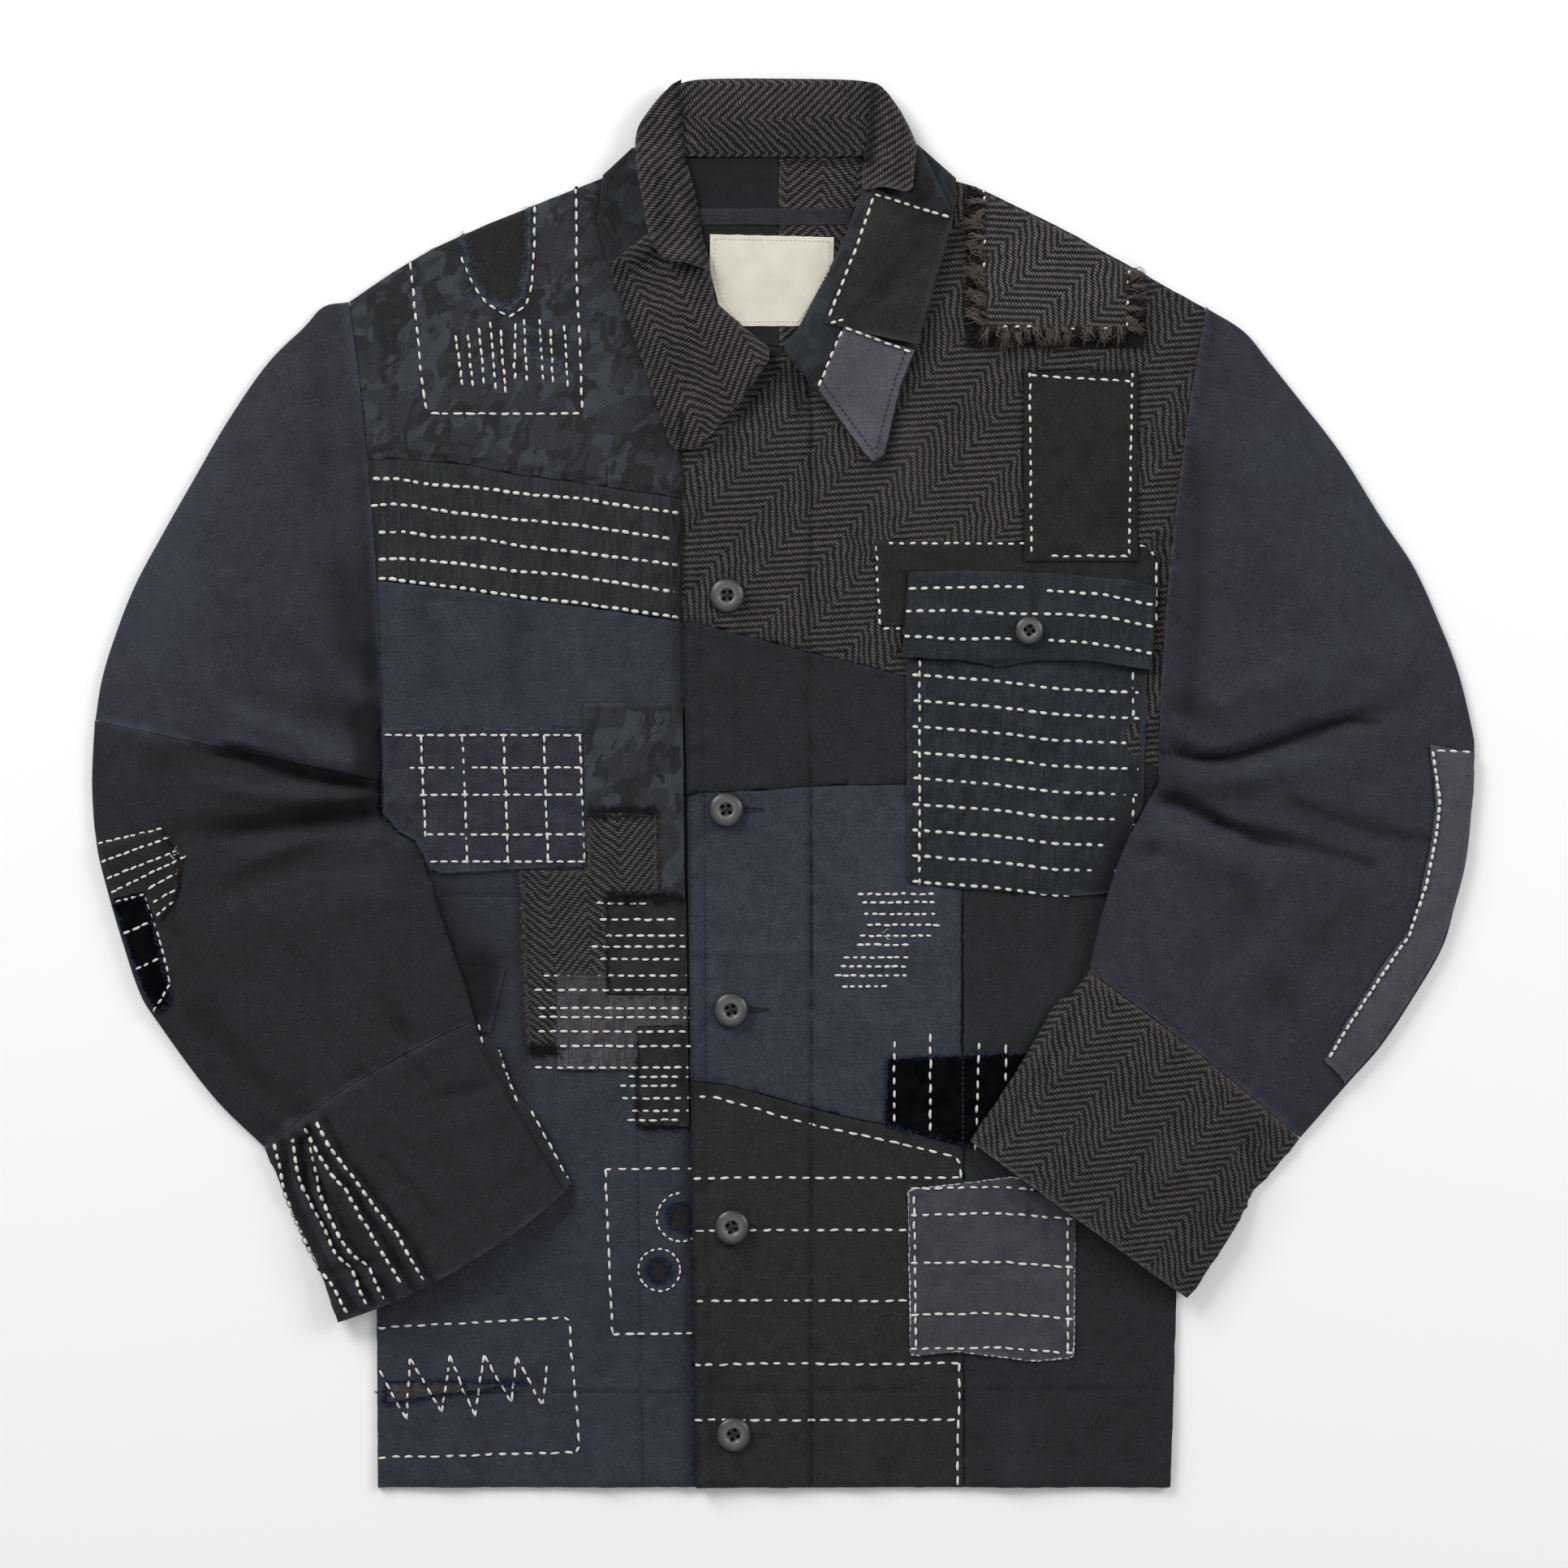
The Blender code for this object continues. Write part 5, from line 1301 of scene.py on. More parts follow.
class Arm:
    """The form that a sleeve and its cuff share."""

    def __init__(self, side, outer, inner, folding, hand, seams, bunch):
        self.side, self.outer, self.inner, self.bunch = side, outer, inner, bunch
        pucks = [(r[0], 0.35, 2.2 * r[3], r[4], 5.2) for r in hand] + [(line, 0.3, 1.1, 7, 5.5) for line in seams]
        self.folding, self.pucks = folding, pucks

    def relief(self, x, y):
        drawn = folds(self.folding, x, y) + puckers(self.pucks, x, y)
        return drawn + slack(x, y) + 0.35 * noise(x, y, 26, 7, 2)

    def base(self, x, y, lift):
        return lift * smooth((BODY_SIDE + 38 - self.side * x) / 20) * (ARM_OVER + lie(x, y))

    def air(self, x, y):
        a, b = rounded(distance(self.outer, x, y), 55), rounded(distance(self.inner, x, y), 50)
        (cx, cy), reach, height = self.bunch
        heap = height * np.exp(-(((x - cx) ** 2 + (y - cy) ** 2) / reach**2))
        return ARM_LOFT * a * b + heap * smooth(distance(self.inner, x, y) / 7)


ARM_LEFT = Arm(
    -1, OUTER_L, INNER_L, FOLDS_ARM_L, HAND_ARM_L,
    [moved(armhole(ARM_L_UPPER[0]), -3, 0), [(-381, 38), (-224, 4.5)], moved(armhole(CUFF_L[0]), 1, 3)],
    ((-226, -4), 34, 8.5)
)
ARM_RIGHT = Arm(
    1, OUTER_R, INNER_R, FOLDS_ARM_R, HAND_ARM_R, [moved(armhole(ARM_R[0]), 3, 0), moved(armhole(CUFF_R[0]), 2, 3)],
    ((207, 9), 34, 8.5)
)


def two_shells(rows, count, k, j, flip=False):
    """Quads of two shells, each of rows of points, and of the edges between them at the first and last row."""
    faces = []
    for shell in (0, 1):
        for i in range(rows - 1):
            a = (shell * rows + i) * count
            quad = np.column_stack([a + k, a + count + k, a + count + j, a + j])
            faces.append(quad[:, ::-1] if (shell > 0) != flip else quad)
    for i in (0, rows - 1):
        a, b = i * count, (rows + i) * count
        quad = np.column_stack([a + k, a + j, b + j, b + k])
        faces.append(quad[:, ::-1] if (i > 0) != flip else quad)
    return faces


def tube(node, rows, arm, mat, grain, slide=0.0, seam=(0, 0), rests=("cloth_back_panel",), ragged=0.0):
    """A flattened sleeve or cuff: its cloth all round, its folds rounded, open at both ends.

    seam is how far the cloth dips at each end."""
    step = 3.2  # between cross-sections
    turn, over_n, under_n = 5, 66, 12  # points round a fold, across the upper side and across the lower
    keyed = [(*r[0], *r[1], r[2], r[3]) for r in rows]
    fine = []
    for k in range(len(keyed) - 1):
        a, b = np.array(keyed[k]), np.array(keyed[k + 1])
        before = np.array(keyed[k - 1]) if k else 2 * a - b
        after = np.array(keyed[k + 2]) if k + 2 < len(keyed) else 2 * b - a
        n = max(1, int(round(max(np.hypot(*(b - a)[:2]), np.hypot(*(b - a)[2:4])) / step)))
        for i in range(n):
            t = i / n
            p = between(before, a, b, after, t)
            p[5] = a[5] + (b[5] - a[5]) * t
            fine.append(p)
    fine.append(np.array(keyed[-1]))
    for k, p in enumerate(fine):
        over = (p[:2] - p[2:4]) / np.hypot(*(p[:2] - p[2:4]))
        p[:2] += over * ragged * float(noise(k * step, 3.0, 9, 61, 3)) * min(1, k / 4)
        p[2:4] -= over * 0.6 * ragged * float(noise(k * step, 90.0, 9, 62, 3)) * min(1, k / 4)

    def place(p, v):
        return chord(p[:2], p[2:4], p[4], v)

    lengths = [math.hypot(p[2] - p[0], p[3] - p[1]) for p in fine]
    run = np.cumsum([0] + [
        math.hypot((b[0] + b[2] - a[0] - a[2]) / 2, (b[1] + b[3] - a[1] - a[3]) / 2) for a, b in zip(fine, fine[1:])
    ])
    points, uvs, wear_light_and_shade_rows = [], [], []
    for shell in (0.0, CLOTH):
        for p, length, s in zip(fine, lengths, run):
            half = FRONT_TOP / 2
            bend = [half * (1 - math.cos(math.pi / 2 * k / turn)) for k in range(turn)]
            mid_o = list(np.linspace(half, length - half, over_n))
            mid_u = list(np.linspace(half, length - half, under_n))
            top_s = bend + mid_o + [length - q for q in reversed(bend)]
            low_s = [length - q for q in bend[1:]] + mid_u[::-1] + [q for q in reversed(bend[1:])]
            s_all = np.array(top_s + low_s)
            d = np.minimum(s_all, length - s_all)
            s_in = np.clip(s_all, shell * 0.9, length - shell * 0.9)
            x, y = place(p, s_in / length)
            swell = half * np.sqrt(rounded(d, half))
            swell = np.maximum(swell - shell, 0.05) if shell else swell
            base, air, fold = arm.base(x, y, p[5]), arm.air(x, y), arm.relief(x, y)
            ends = 1 - seam[0] * math.exp(-((s / 3.5) ** 2)) - seam[1] * math.exp(-(((run[-1] - s) / 3.5) ** 2))
            room = smooth(d / 12)
            fold = fold * (0.3 + 0.7 * room)
            up = np.maximum(air + fold - 1.0 * (1 - ends), -0.2)
            z = base + half + np.where(np.arange(len(s_all)) < len(top_s), swell + up, -swell)
            points.append(np.column_stack([x, y, z]))
            uvs.append(turned(x, y, grain) + (slide, 0))
            worn = 1.5 * math.exp(-((s / 1.7) ** 2)) + 1.5 * math.exp(-(((run[-1] - s) / 1.7) ** 2))
            # painted shade in the creases and by the armholes (painted light where an amount is negative), on the
            # outer shell only
            shading = painted_shade(SHADE_LINES_ARMS, x, y)
            wear_light_and_shade = np.clip(np.clip(0.12 * fold - 0.1, 0, 0.25) + worn * (0.6 + 0.6 * noise(x, y, 4, 9)), 0, 1)
            wear_light_and_shade_rows.append(wear_light_and_shade * (1 - shading) - shading if not shell else 0 * x)
    loop = len(points[0])
    k = np.arange(loop)
    faces = two_shells(len(fine), loop, k, (k + 1) % loop, arm.side > 0)
    obj = mesh_object(
        "cloth_" + node, np.concatenate(points), np.concatenate(faces), mat, np.concatenate(uvs), np.concatenate(wear_light_and_shade_rows)
    )
    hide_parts(node)
    list(rests)
    ring = [(p[0], p[1]) for p in fine] + [place(fine[-1], v) for v in np.linspace(0.05, 0.95, 12)]
    ring += [(p[2], p[3]) for p in reversed(fine)] + [place(fine[0], v) for v in np.linspace(0.95, 0.05, 12)]
    lift = np.mean([p[5] for p in fine[-3:]])

    def top(x, y):
        d = distance([*ring, ring[0]], x, y)
        up = np.maximum(arm.air(x, y) + arm.relief(x, y) * (0.3 + 0.7 * smooth(d / 12)), -0.2)
        return arm.base(x, y, lift) + FRONT_TOP * (0.5 + 0.5 * np.sqrt(rounded(d, FRONT_TOP / 2))) + up

    RINGS["cloth_" + node] = [tuple(q) for q in ring]
    lay(RINGS["cloth_" + node], top)


OVER_L, OVER_R = ("cloth_back_panel", "cloth_front_l_panel"), ("cloth_back_panel", "cloth_front_r_side")
tube("sleeve_l_upper", ARM_L_UPPER, ARM_LEFT, NAVY, 15, 0, (1, 0.8))
tube("sleeve_l_lower", ARM_L_LOWER, ARM_LEFT, BLACK, 10, 0, (0.8, 0.9), OVER_L)
STRIP = [
    (-168, -138), (-160, -143), (-147, -172.5), (-138, -181), (-118, -220), (-122, -226), (-134, -205), (-148, -180),
    (-166, -146)
]
strip_lie = draped(STRIP)
sheet("cloth_cuff_l_under_edge", STRIP, BLACK, CLOTH, lambda x, y: strip_lie(x, y) + 3.0, level, 1.6)
tube("cuff_l", CUFF_L, ARM_LEFT, BLACK, 35, 0, (0.9, 0), OVER_L, ragged=2.0)
tube("sleeve_r", ARM_R, ARM_RIGHT, NAVY, -15, 0, (1, 0.9), OVER_R)
tube("cuff_r", CUFF_R, ARM_RIGHT, TWEED_CUFF, -38, 2.2, (0.9, 0), OVER_R, ragged=1.6)

for node, mat, arm in (
    ("patch_sleeve_l_brown", BROWN, ARM_LEFT), ("patch_sleeve_l_velvet", VELVET, ARM_LEFT),
    ("patch_sleeve_r_elbow", GREY, ARM_RIGHT)
):
    rests = ("cloth_sleeve_l_lower",) if arm is ARM_LEFT else ("cloth_sleeve_r",)
    wider = None
    if arm is ARM_RIGHT:
        edge = np.array(outlines(node)[0][0])
        near = np.array([nearest(OUTER_R, [x], [y])[0][0] for x, y in edge])
        away = edge - (BODY_SIDE, ELBOW)
        wider = [tuple(q + a / np.hypot(*a) * (3.0 if d < 9 else 0)) for q, a, d in zip(edge, away, near)]

    def on_arm(x, y, side=arm.side):
        """The sleeve's height a little inward of the place, so that a patch follows it over its fold."""
        ax, ay = x - side * BODY_SIDE, y - ELBOW
        r = np.hypot(ax, ay)
        return height_at(x - 1.5 * ax / r, y - 1.5 * ay / r) + GAP

    piece(
        node, mat, PATCH, lambda x, y: 0.25 * noise(x, y, 6, 8, 2), pitch=1.7, rests=rests, wobble=0.5, cut=wider,
        under=on_arm
    )

# ------------------------------------------------------------------ collar
ROLL_L = [(-56.7, 384.5), (-54.9, 347.2), (-46.4, 309.8), (-40.1, 280), (-37.8, 266.6), (-23.9, 254.5), (-8.1, 241.4)]
ROLL_R = [(45, 389.5), (44.1, 348.5), (42.8, 327.8), (35.1, 306.7), (27, 289), (9, 254.5), (0, 242)]


def roll(line, height=8.0):
    """The fall turns up from the neck seam, over, and down onto the front."""

    def at(x, y):
        d = distance(line, x, y)
        return height * np.sin(np.clip(d / 11, 0, 1) * math.pi / 2) * (1 - smooth((d - 14) / 40))

    return at


def leaf_relief(x, y):
    return 0.45 * noise(x, y, 24, 21, 2) + 0.2 * noise(x, y, 8, 22, 2)


piece(
    "collar_leaf_l_camo", CAMO_COLLAR, 2.0, leaf_relief, lambda x, y: 0.7 * roll(ROLL_L)(x, y), 20, 1.9, 0,
    ("cloth_front_l_yoke",), wobble=0,
    cut=[
        (-79, 352), (-71, 340), (-69, 304), (-72, 294), (-92, 284), (-97.1, 288.1), (-103.7, 311.2), (-100.2, 337),
        (-84, 351.6)
    ]
)
piece(
    "collar_leaf_l", TWEED_LEAF, 2.0, leaf_relief, roll(ROLL_L), 30, 1.7, 24, ("cloth_front_l_yoke",), wobble=0.15,
    edge=2.4, slide=5.4,
    cut=[
        (-40.1, 280), (-37.8, 266.6), (-23.9, 254.5), (-8.1, 241.4), (-8.1, 234), (-23.9, 211.3), (-38.7, 195),
        (-49, 184.7), (-59.4, 184.7), (-63.5, 188.8), (-67, 199.6), (-74.7, 223.4), (-86.4, 257.6), (-95.4, 281.5),
        (-96.6, 287.4), (-75.2, 303.4), (-70, 298.5), (-65, 294), (-56.5, 291), (-41.5, 289.5)
    ]
)
piece(
    "collar_upper_l", TWEED_TURN_L, 2.0, leaf_relief, roll(ROLL_L), 30, 1.7, -174, ("cloth_front_l_yoke",),
    wobble=0.15, edge=3.0,
    cut=curve(
        [
            (-56.6, 389.2), (-61, 387), (-64.5, 383.5), (-72.5, 374.5), (-79.5, 364.5), (-82, 356), (-81.2, 340),
            (-78, 322), (-75, 304.5), (-71, 294.5), (-66, 289), (-57, 286.6), (-41.5, 285.2), (-45, 303.4),
            (-49, 326), (-54.3, 347), (-56.2, 366), (-57.2, 384)
        ],
        3
    )
)
piece(
    "collar_r_camo_strip", CAMO_COLLAR, 2.0, leaf_relief, lambda x, y: 0.35 * roll(ROLL_R)(x, y), 40, 1.9, 0,
    ("cloth_front_r_upper",), wobble=0,
    cut=[(70, 352), (72, 334), (84, 312), (94.8, 315.6), (95.2, 335.2), (76.4, 351.6)]
)
piece("collar_leaf_r", CAMO_COLLAR, 2.0, leaf_relief, roll(ROLL_R), 30, 1.9, 0, ("cloth_front_r_upper",), wobble=0)
piece(
    "collar_upper_r", TWEED_TURN_R, 2.0, leaf_relief, roll(ROLL_R), 30, 1.7, -101, ("cloth_front_r_upper",),
    wobble=0.15, edge=2.4,
    cut=curve(
        [
            (47.6, 388.4), (52, 386.8), (57.5, 381.5), (64.6, 371.2), (70.5, 360), (73, 351.5), (72, 340),
            (69.5, 326.5), (56, 328), (43.6, 329.2), (44.6, 348.5), (46.4, 368)
        ],
        3
    )
)


def collar_patch_relief(x, y):
    return 0.3 * noise(x, y, 11, 23, 2) + puckers([([(94, 300), (48, 262)], 0.8, 1.2, 14, 9)], x, y)


COLLAR_PATCHES = {
    "brown": (
        BROWN_COLLAR,
        [
            (48, 327.8), (70, 321), (93.4, 313.4), (82.8, 276), (73.3, 243), (47, 248.5), (22, 254), (31, 276),
            (40, 298)
        ]
    ),
    "grey": (
        GREY_COLLAR,
        [
            (33.5, 252.5), (72.2, 239.6), (64.4, 220.3), (55.2, 182), (49.5, 178.6), (46, 181.5), (19.5, 217.5),
            (26, 235)
        ]
    ),
}
for word, (mat, cut) in COLLAR_PATCHES.items():
    piece(
        "collar_r_patch_" + word, mat, PATCH, collar_patch_relief, None, 6, 1.6, 0, ("cloth_collar_leaf_r",),
        wobble=0.4, cut=cut
    )


def collar_back():
    """The collar behind the neck, folded over double and lying down on itself."""
    keys = [
        (-58.0, 388.2, 347.8, 3), (-51.2, 389.8, 347.8, 4.2), (-42, 390.2, 347.5, 8.5), (-22, 390.4, 347.4, 10.5),
        (-3, 390.3, 347.4, 10.5), (16, 390.1, 347.4, 10.5), (32, 389.9, 347.5, 8.8), (41.2, 389.8, 347.8, 4.2),
        (48.6, 388.9, 348, 3)
    ]
    rows = curve(keys, 1.6)
    n = 40
    points, uvs = [], []
    for shell in (0.0, CLOTH):
        for x, top, seam, height in rows:
            t = np.linspace(0, 1, n)
            reach = top - seam
            y = seam + shell * 0.4 + (reach - 5 - shell * 0.4) * t
            rise = (height - 2.2) * np.sin(np.clip(t * 1.35, 0, 1) * math.pi / 2)
            z = 2.2 + rise - 0.8 * smooth((t - 0.75) / 0.25) - shell
            bend = np.linspace(0.12, 1, 9) * math.pi
            r = (z[-1] - (0.1 + shell)) / 2
            yb = y[-1] + (5 - shell) * np.sin(bend)
            zb = z[-1] - r + r * np.cos(bend)
            yu = np.linspace(top - 6, seam + 8, 14)
            zu = np.full(14, 0.1 + shell)
            yy, zz = np.concatenate([y, yb, yu]), np.concatenate([z, zb, zu])
            xx = np.full(yy.shape, x)
            zz[:n] += 0.35 * noise(xx[:n], yy[:n], 16, 31, 2) * smooth(t * 4)
            points.append(np.column_stack([xx, yy, np.maximum(zz, 0)]))
            arc = np.concatenate([[0], np.cumsum(np.hypot(np.diff(yy), np.diff(zz)))])
            uvs.append(np.column_stack([arc - 2, xx]))
    count, m = len(points[0]), len(rows)
    k = np.arange(count - 1)
    faces = two_shells(m, count, k, k + 1)
    i = np.arange(m - 1)
    for end in (0, count - 1):
        quad = np.column_stack([
            i * count + end, (m + i) * count + end, (m + i + 1) * count + end, (i + 1) * count + end
        ])
        faces.append(quad if end == 0 else quad[:, ::-1])
    obj = mesh_object(
        "cloth_collar_back", np.concatenate(points), np.concatenate(faces), TWEED_COLLAR, np.concatenate(uvs)
    )
    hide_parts("collar_back")


collar_back()

# ------------------------------------------------------------------ buttons
BUTTONS = [
    ("button_1", -31.5, 104.2, 9.8), ("button_2", -32, -14.2, 9.8), ("button_3", -29.3, -124.9, 9.8),
    ("button_4", -28.8, -245, 9.8), ("button_5", -27.9, -359.8, 9.8), ("button_pocket", 135.5, 84.8, 8.2)
]


def button(name, cx, cy, radius, twist):
    """A four-hole resin button: dished middle, rounded rim."""
    z = float(np.max(height_at(
        cx + radius * 0.8 * np.cos(np.arange(8)), cy + radius * 0.8 * np.sin(np.arange(8))
    ))) + 0.35
    n = 48
    # radius, height, and how much painted highlight the resin gets there (the rim painted lighter where it would
    # catch the light)
    profile = [
        (0.0, 1.55, 0.06), (0.2, 1.55, 0.06), (0.32, 1.65, 0.08), (0.38, 2.1, 0.45), (0.43, 2.65, 0.9),
        (0.49, 2.92, 1.0), (0.57, 3.0, 0.72), (0.68, 2.9, 0.56), (0.79, 2.6, 0.34), (0.88, 2.1, 0.18),
        (0.95, 1.55, 0.03), (1.0, 1.0, 0.0), (0.98, 0.5, 0.0), (0.9, 0.1, 0.0), (0.8, 0.0, 0.0), (0.0, 0.0, 0.0)
    ]
    points = [(cx, cy, z + profile[0][1])]
    for r, h, _ in profile[1:-1]:
        points += [(
            cx + radius * r * math.cos(2 * math.pi * k / n), cy + radius * r * math.sin(2 * math.pi * k / n), z + h
        ) for k in range(n)]
    points.append((cx, cy, z))
    rings = len(profile) - 2
    faces = [(0, 1 + k, 1 + (k + 1) % n) for k in range(n)]
    for i in range(rings - 1):
        for k in range(n):
            a, b = 1 + i * n + k, 1 + i * n + (k + 1) % n
            faces += [(a, a + n, b + n), (a, b + n, b)]
    last = len(points) - 1
    faces += [(last, last - n + (k + 1) % n, last - n + k) for k in range(n)]
    light = [profile[0][2], *[p[2] for p in profile[1:-1] for _ in range(n)], 0]
    obj = mesh_object(name + "_resin", points, faces, HORN, wear_light_and_shade=light, sharp=0)
    holes = []
    for q in range(4):
        a = math.radians(45 + 90 * q + twist)
        hx, hy = cx + 0.26 * radius * math.cos(a), cy + 0.26 * radius * math.sin(a)
        holes.append((hx, hy))
        bpy.ops.mesh.primitive_cylinder_add(
            vertices=20, radius=1.1 * MM, depth=12 * MM, location=(hx * MM, hy * MM, z * MM)
        )
        cutter = bpy.context.object
        mod = obj.modifiers.new("hole", "BOOLEAN")
        mod.operation, mod.object = "DIFFERENCE", cutter
        bpy.context.view_layer.objects.active = obj
        bpy.ops.object.modifier_apply(modifier=mod.name)
        bpy.data.objects.remove(cutter)
    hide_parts(name)
    return holes, z + 1.6


BUTTON_HOLES = [button(*b, twist=7 * k) for k, b in enumerate(BUTTONS)]


# ------------------------------------------------------------------ sewing thread and frayed yarn
def measured(line):
    """The line's points and how far along it each is."""
    pts = np.array(line, float)
    return pts, np.concatenate([[0], np.cumsum(np.hypot(*np.diff(pts, axis=0).T))])


def along(pts, run, s):
    """The places this far along a line, and its direction there."""
    k = np.clip(np.searchsorted(run, s, "right") - 1, 0, len(pts) - 2)
    d = pts[k + 1] - pts[k]
    d = d / np.hypot(*d.T)[:, None]
    return pts[k] + d * (s - run[k])[:, None], d


def strands(x, y, z, ux, uy, thick, sides, flat=1.0, turn=0.0):
    """Many round strands, each through its own row of places: points, quads, and where each one's points begin."""
    a = np.arange(sides) * 2 * math.pi / sides + turn
    px = x[..., None] - uy[..., None] * thick[..., None] * np.cos(a)
    py = y[..., None] + ux[..., None] * thick[..., None] * np.cos(a)
    pz = z[..., None] + flat * thick[..., None] * np.sin(a)
    n, stations = x.shape
    base = np.arange(n)[:, None, None] * stations * sides
    s, k = np.arange(stations - 1)[None, :, None] * sides, np.arange(sides)[None, None, :]
    j = (k + 1) % sides
    quads = np.stack(np.broadcast_arrays(base + s + k, base + s + j, base + s + sides + j, base + s + sides + k), -1)
    return np.stack([px, py, pz], -1).reshape(-1, 3), quads.reshape(-1, 4), base[:, 0, 0]


def dashes(line, stitch, gap, seed=0, loose=1.0):
    """Where each stitch of a running stitch shows, a little uneven as by hand."""
    rng = np.random.default_rng(seed)
    pts, run = measured(line)
    count = max(1, int(round((run[-1] + gap) / (stitch + gap))))
    pitch = (run[-1] + gap) / count
    start = np.arange(count) * pitch + rng.normal(0, 0.22 * loose, count)
    length = (pitch - gap) * (1 + rng.normal(0, 0.09 * loose, count))
    out = []
    for a, b in zip(start, start + length):
        (x0, x1), (y0, y1) = np.interp([a, b], run, pts[:, 0]), np.interp([a, b], run, pts[:, 1])
        shift = rng.normal(0, 0.16 * loose, 4)
        out.append((x0 + shift[0], y0 + shift[1], x1 + shift[2], y1 + shift[3]))
    return out


def uncovered(x, y, covers):
    """False where a later piece lies over the place."""
    free = np.ones(np.shape(x), bool)
    for name in covers:
        free &= ~inside(RINGS[name], x, y)
    return free


ARMS = ("cloth_sleeve_l_upper", "cloth_sleeve_l_lower", "cloth_cuff_l", "cloth_sleeve_r", "cloth_cuff_r")
OVER_FRONTS = (
    *ARMS, "cloth_collar_leaf_l", "cloth_collar_leaf_l_camo", "cloth_collar_upper_l", "cloth_collar_leaf_r",
    "cloth_collar_upper_r", "cloth_pocket_flap"
)


def threads(name, segs, mat, width, rise, sink=0.25, stations=5, sides=6, seed=1, flat=0.75):
    """Stitches as one mesh: each comes up through the cloth, lies on it and goes down again."""
    segs = np.array(segs)
    rng = np.random.default_rng(seed)
    n = len(segs)
    width = np.broadcast_to(np.asarray(width, float).reshape(-1, 1), (n, 1))
    t = np.linspace(0, 1, stations)
    x = segs[:, :1] + (segs[:, 2:3] - segs[:, :1]) * t
    y = segs[:, 1:2] + (segs[:, 3:4] - segs[:, 1:2]) * t
    length = np.hypot(segs[:, 2] - segs[:, 0], segs[:, 3] - segs[:, 1])[:, None]
    bow = rng.normal(0, 0.03, (n, 1)) * length * np.sin(math.pi * t)
    ux, uy = (segs[:, 2:3] - segs[:, :1]) / length, (segs[:, 3:4] - segs[:, 1:2]) / length
    x, y = x - uy * bow, y + ux * bow
    arch = np.sin(math.pi * np.clip(0.04 + 0.92 * t, 0, 1)) ** 0.55
    full = 0.35 + 0.65 * np.sin(math.pi * np.clip(0.03 + 0.94 * t, 0, 1)) ** 0.5
    thick = width * rng.uniform(0.88, 1.12, (n, 1)) / 2 * full
    z = height_at(x, y) - sink + (rise + sink) * arch
    z = np.minimum(z, z[:, stations // 2][:, None] + 1.5)  # an end that runs in under a sleeve stays down
    points, quads, first = strands(x, y, z, ux, uy, thick, sides, flat)
    caps = [(0, 3, 2, 1), (0, 5, 4, 3)][: sides // 3]
    ends = [first[:, None] + cap for cap in caps]
    ends += [first[:, None] + (stations - 1) * sides + (0, *cap[:0:-1]) for cap in caps]
    mesh_object(name, points, np.concatenate([quads, *ends]), mat, points[:, :2], sharp=0)


def yarns(name, starts, heads, mat, width, lift=(0.2, 0.9), curl=0.5, seed=3, stations=4, covers=()):
    """Loose ends of yarn as one mesh: start, direction and length of each, drawn to a point and a little curled."""
    rng = np.random.default_rng(seed)
    starts, heads = np.array(starts, float), np.array(heads, float)
    free = uncovered(starts[:, 0], starts[:, 1], covers)
    starts, heads = starts[free], heads[free]
    n = len(starts)
    t = np.linspace(0, 1, stations)
    length = np.hypot(*heads.T)[:, None]
    side = np.stack([-heads[:, 1], heads[:, 0]], 1)
    bend = rng.normal(0, curl, (n, 1)) * t**2 * 0.6 + rng.normal(0, curl * 0.35, (n, 1)) * np.sin(math.pi * 2 * t)
    x = starts[:, :1] + heads[:, :1] * t + side[:, :1] * bend
    y = starts[:, 1:2] + heads[:, 1:2] * t + side[:, 1:2] * bend
    high = rng.uniform(*lift, (n, 1))
    z = height_at(x, y) + high * (0.25 + 0.75 * np.sin(math.pi * np.clip(t * rng.uniform(0.5, 1.0, (n, 1)), 0, 1)))
    z = np.maximum(z, 0.3)
    thick = width / 2 * rng.uniform(0.6, 1.25, (n, 1)) * (1 - 0.55 * t)
    ux, uy = heads[:, :1] / length, heads[:, 1:2] / length
    points, quads, first = strands(x, y, z, ux, uy, thick, 3, 1.0, 0.5)
    tip = first + (stations - 1) * 3
    ends = [np.stack([first, first + 2, first + 1], 1), np.stack([tip, tip + 1, tip + 2], 1)]
    tris = np.concatenate([quads[:, [0, 1, 2]], quads[:, [0, 2, 3]], *ends])
    mesh_object(name, points, tris, mat, points[:, :2], sharp=0)


def fray(line, per_mm, length, spread=0.6, side=1, both=0.25, seed=0, inset=0.4):
    """Starts and headings of the yarns that come off a raw edge. side says which side of the line is outward."""
    rng = np.random.default_rng(seed)
    pts, run = measured(line)
    n = max(2, int(run[-1] * per_mm))
    s = np.sort(rng.uniform(0, run[-1], n))
    s = s + 0.6 * np.sin(s * 1.1)
    s = np.clip(s, 0, run[-1] - 1e-3)
    at, d = along(pts, run, s)
    turn = np.where(rng.uniform(size=n) < both, -1, 1) * side
    out = np.stack([-d[:, 1], d[:, 0]], 1) * turn[:, None]
    lean = rng.normal(0, spread, n)
    size = length * rng.uniform(0.45, 1.25, n)
    head = (out * np.cos(lean)[:, None] + d * np.sin(lean)[:, None]) * size[:, None]
    return at - out * inset, head


def join(*parts):
    return np.concatenate([p[0] for p in parts]), np.concatenate([p[1] for p in parts])


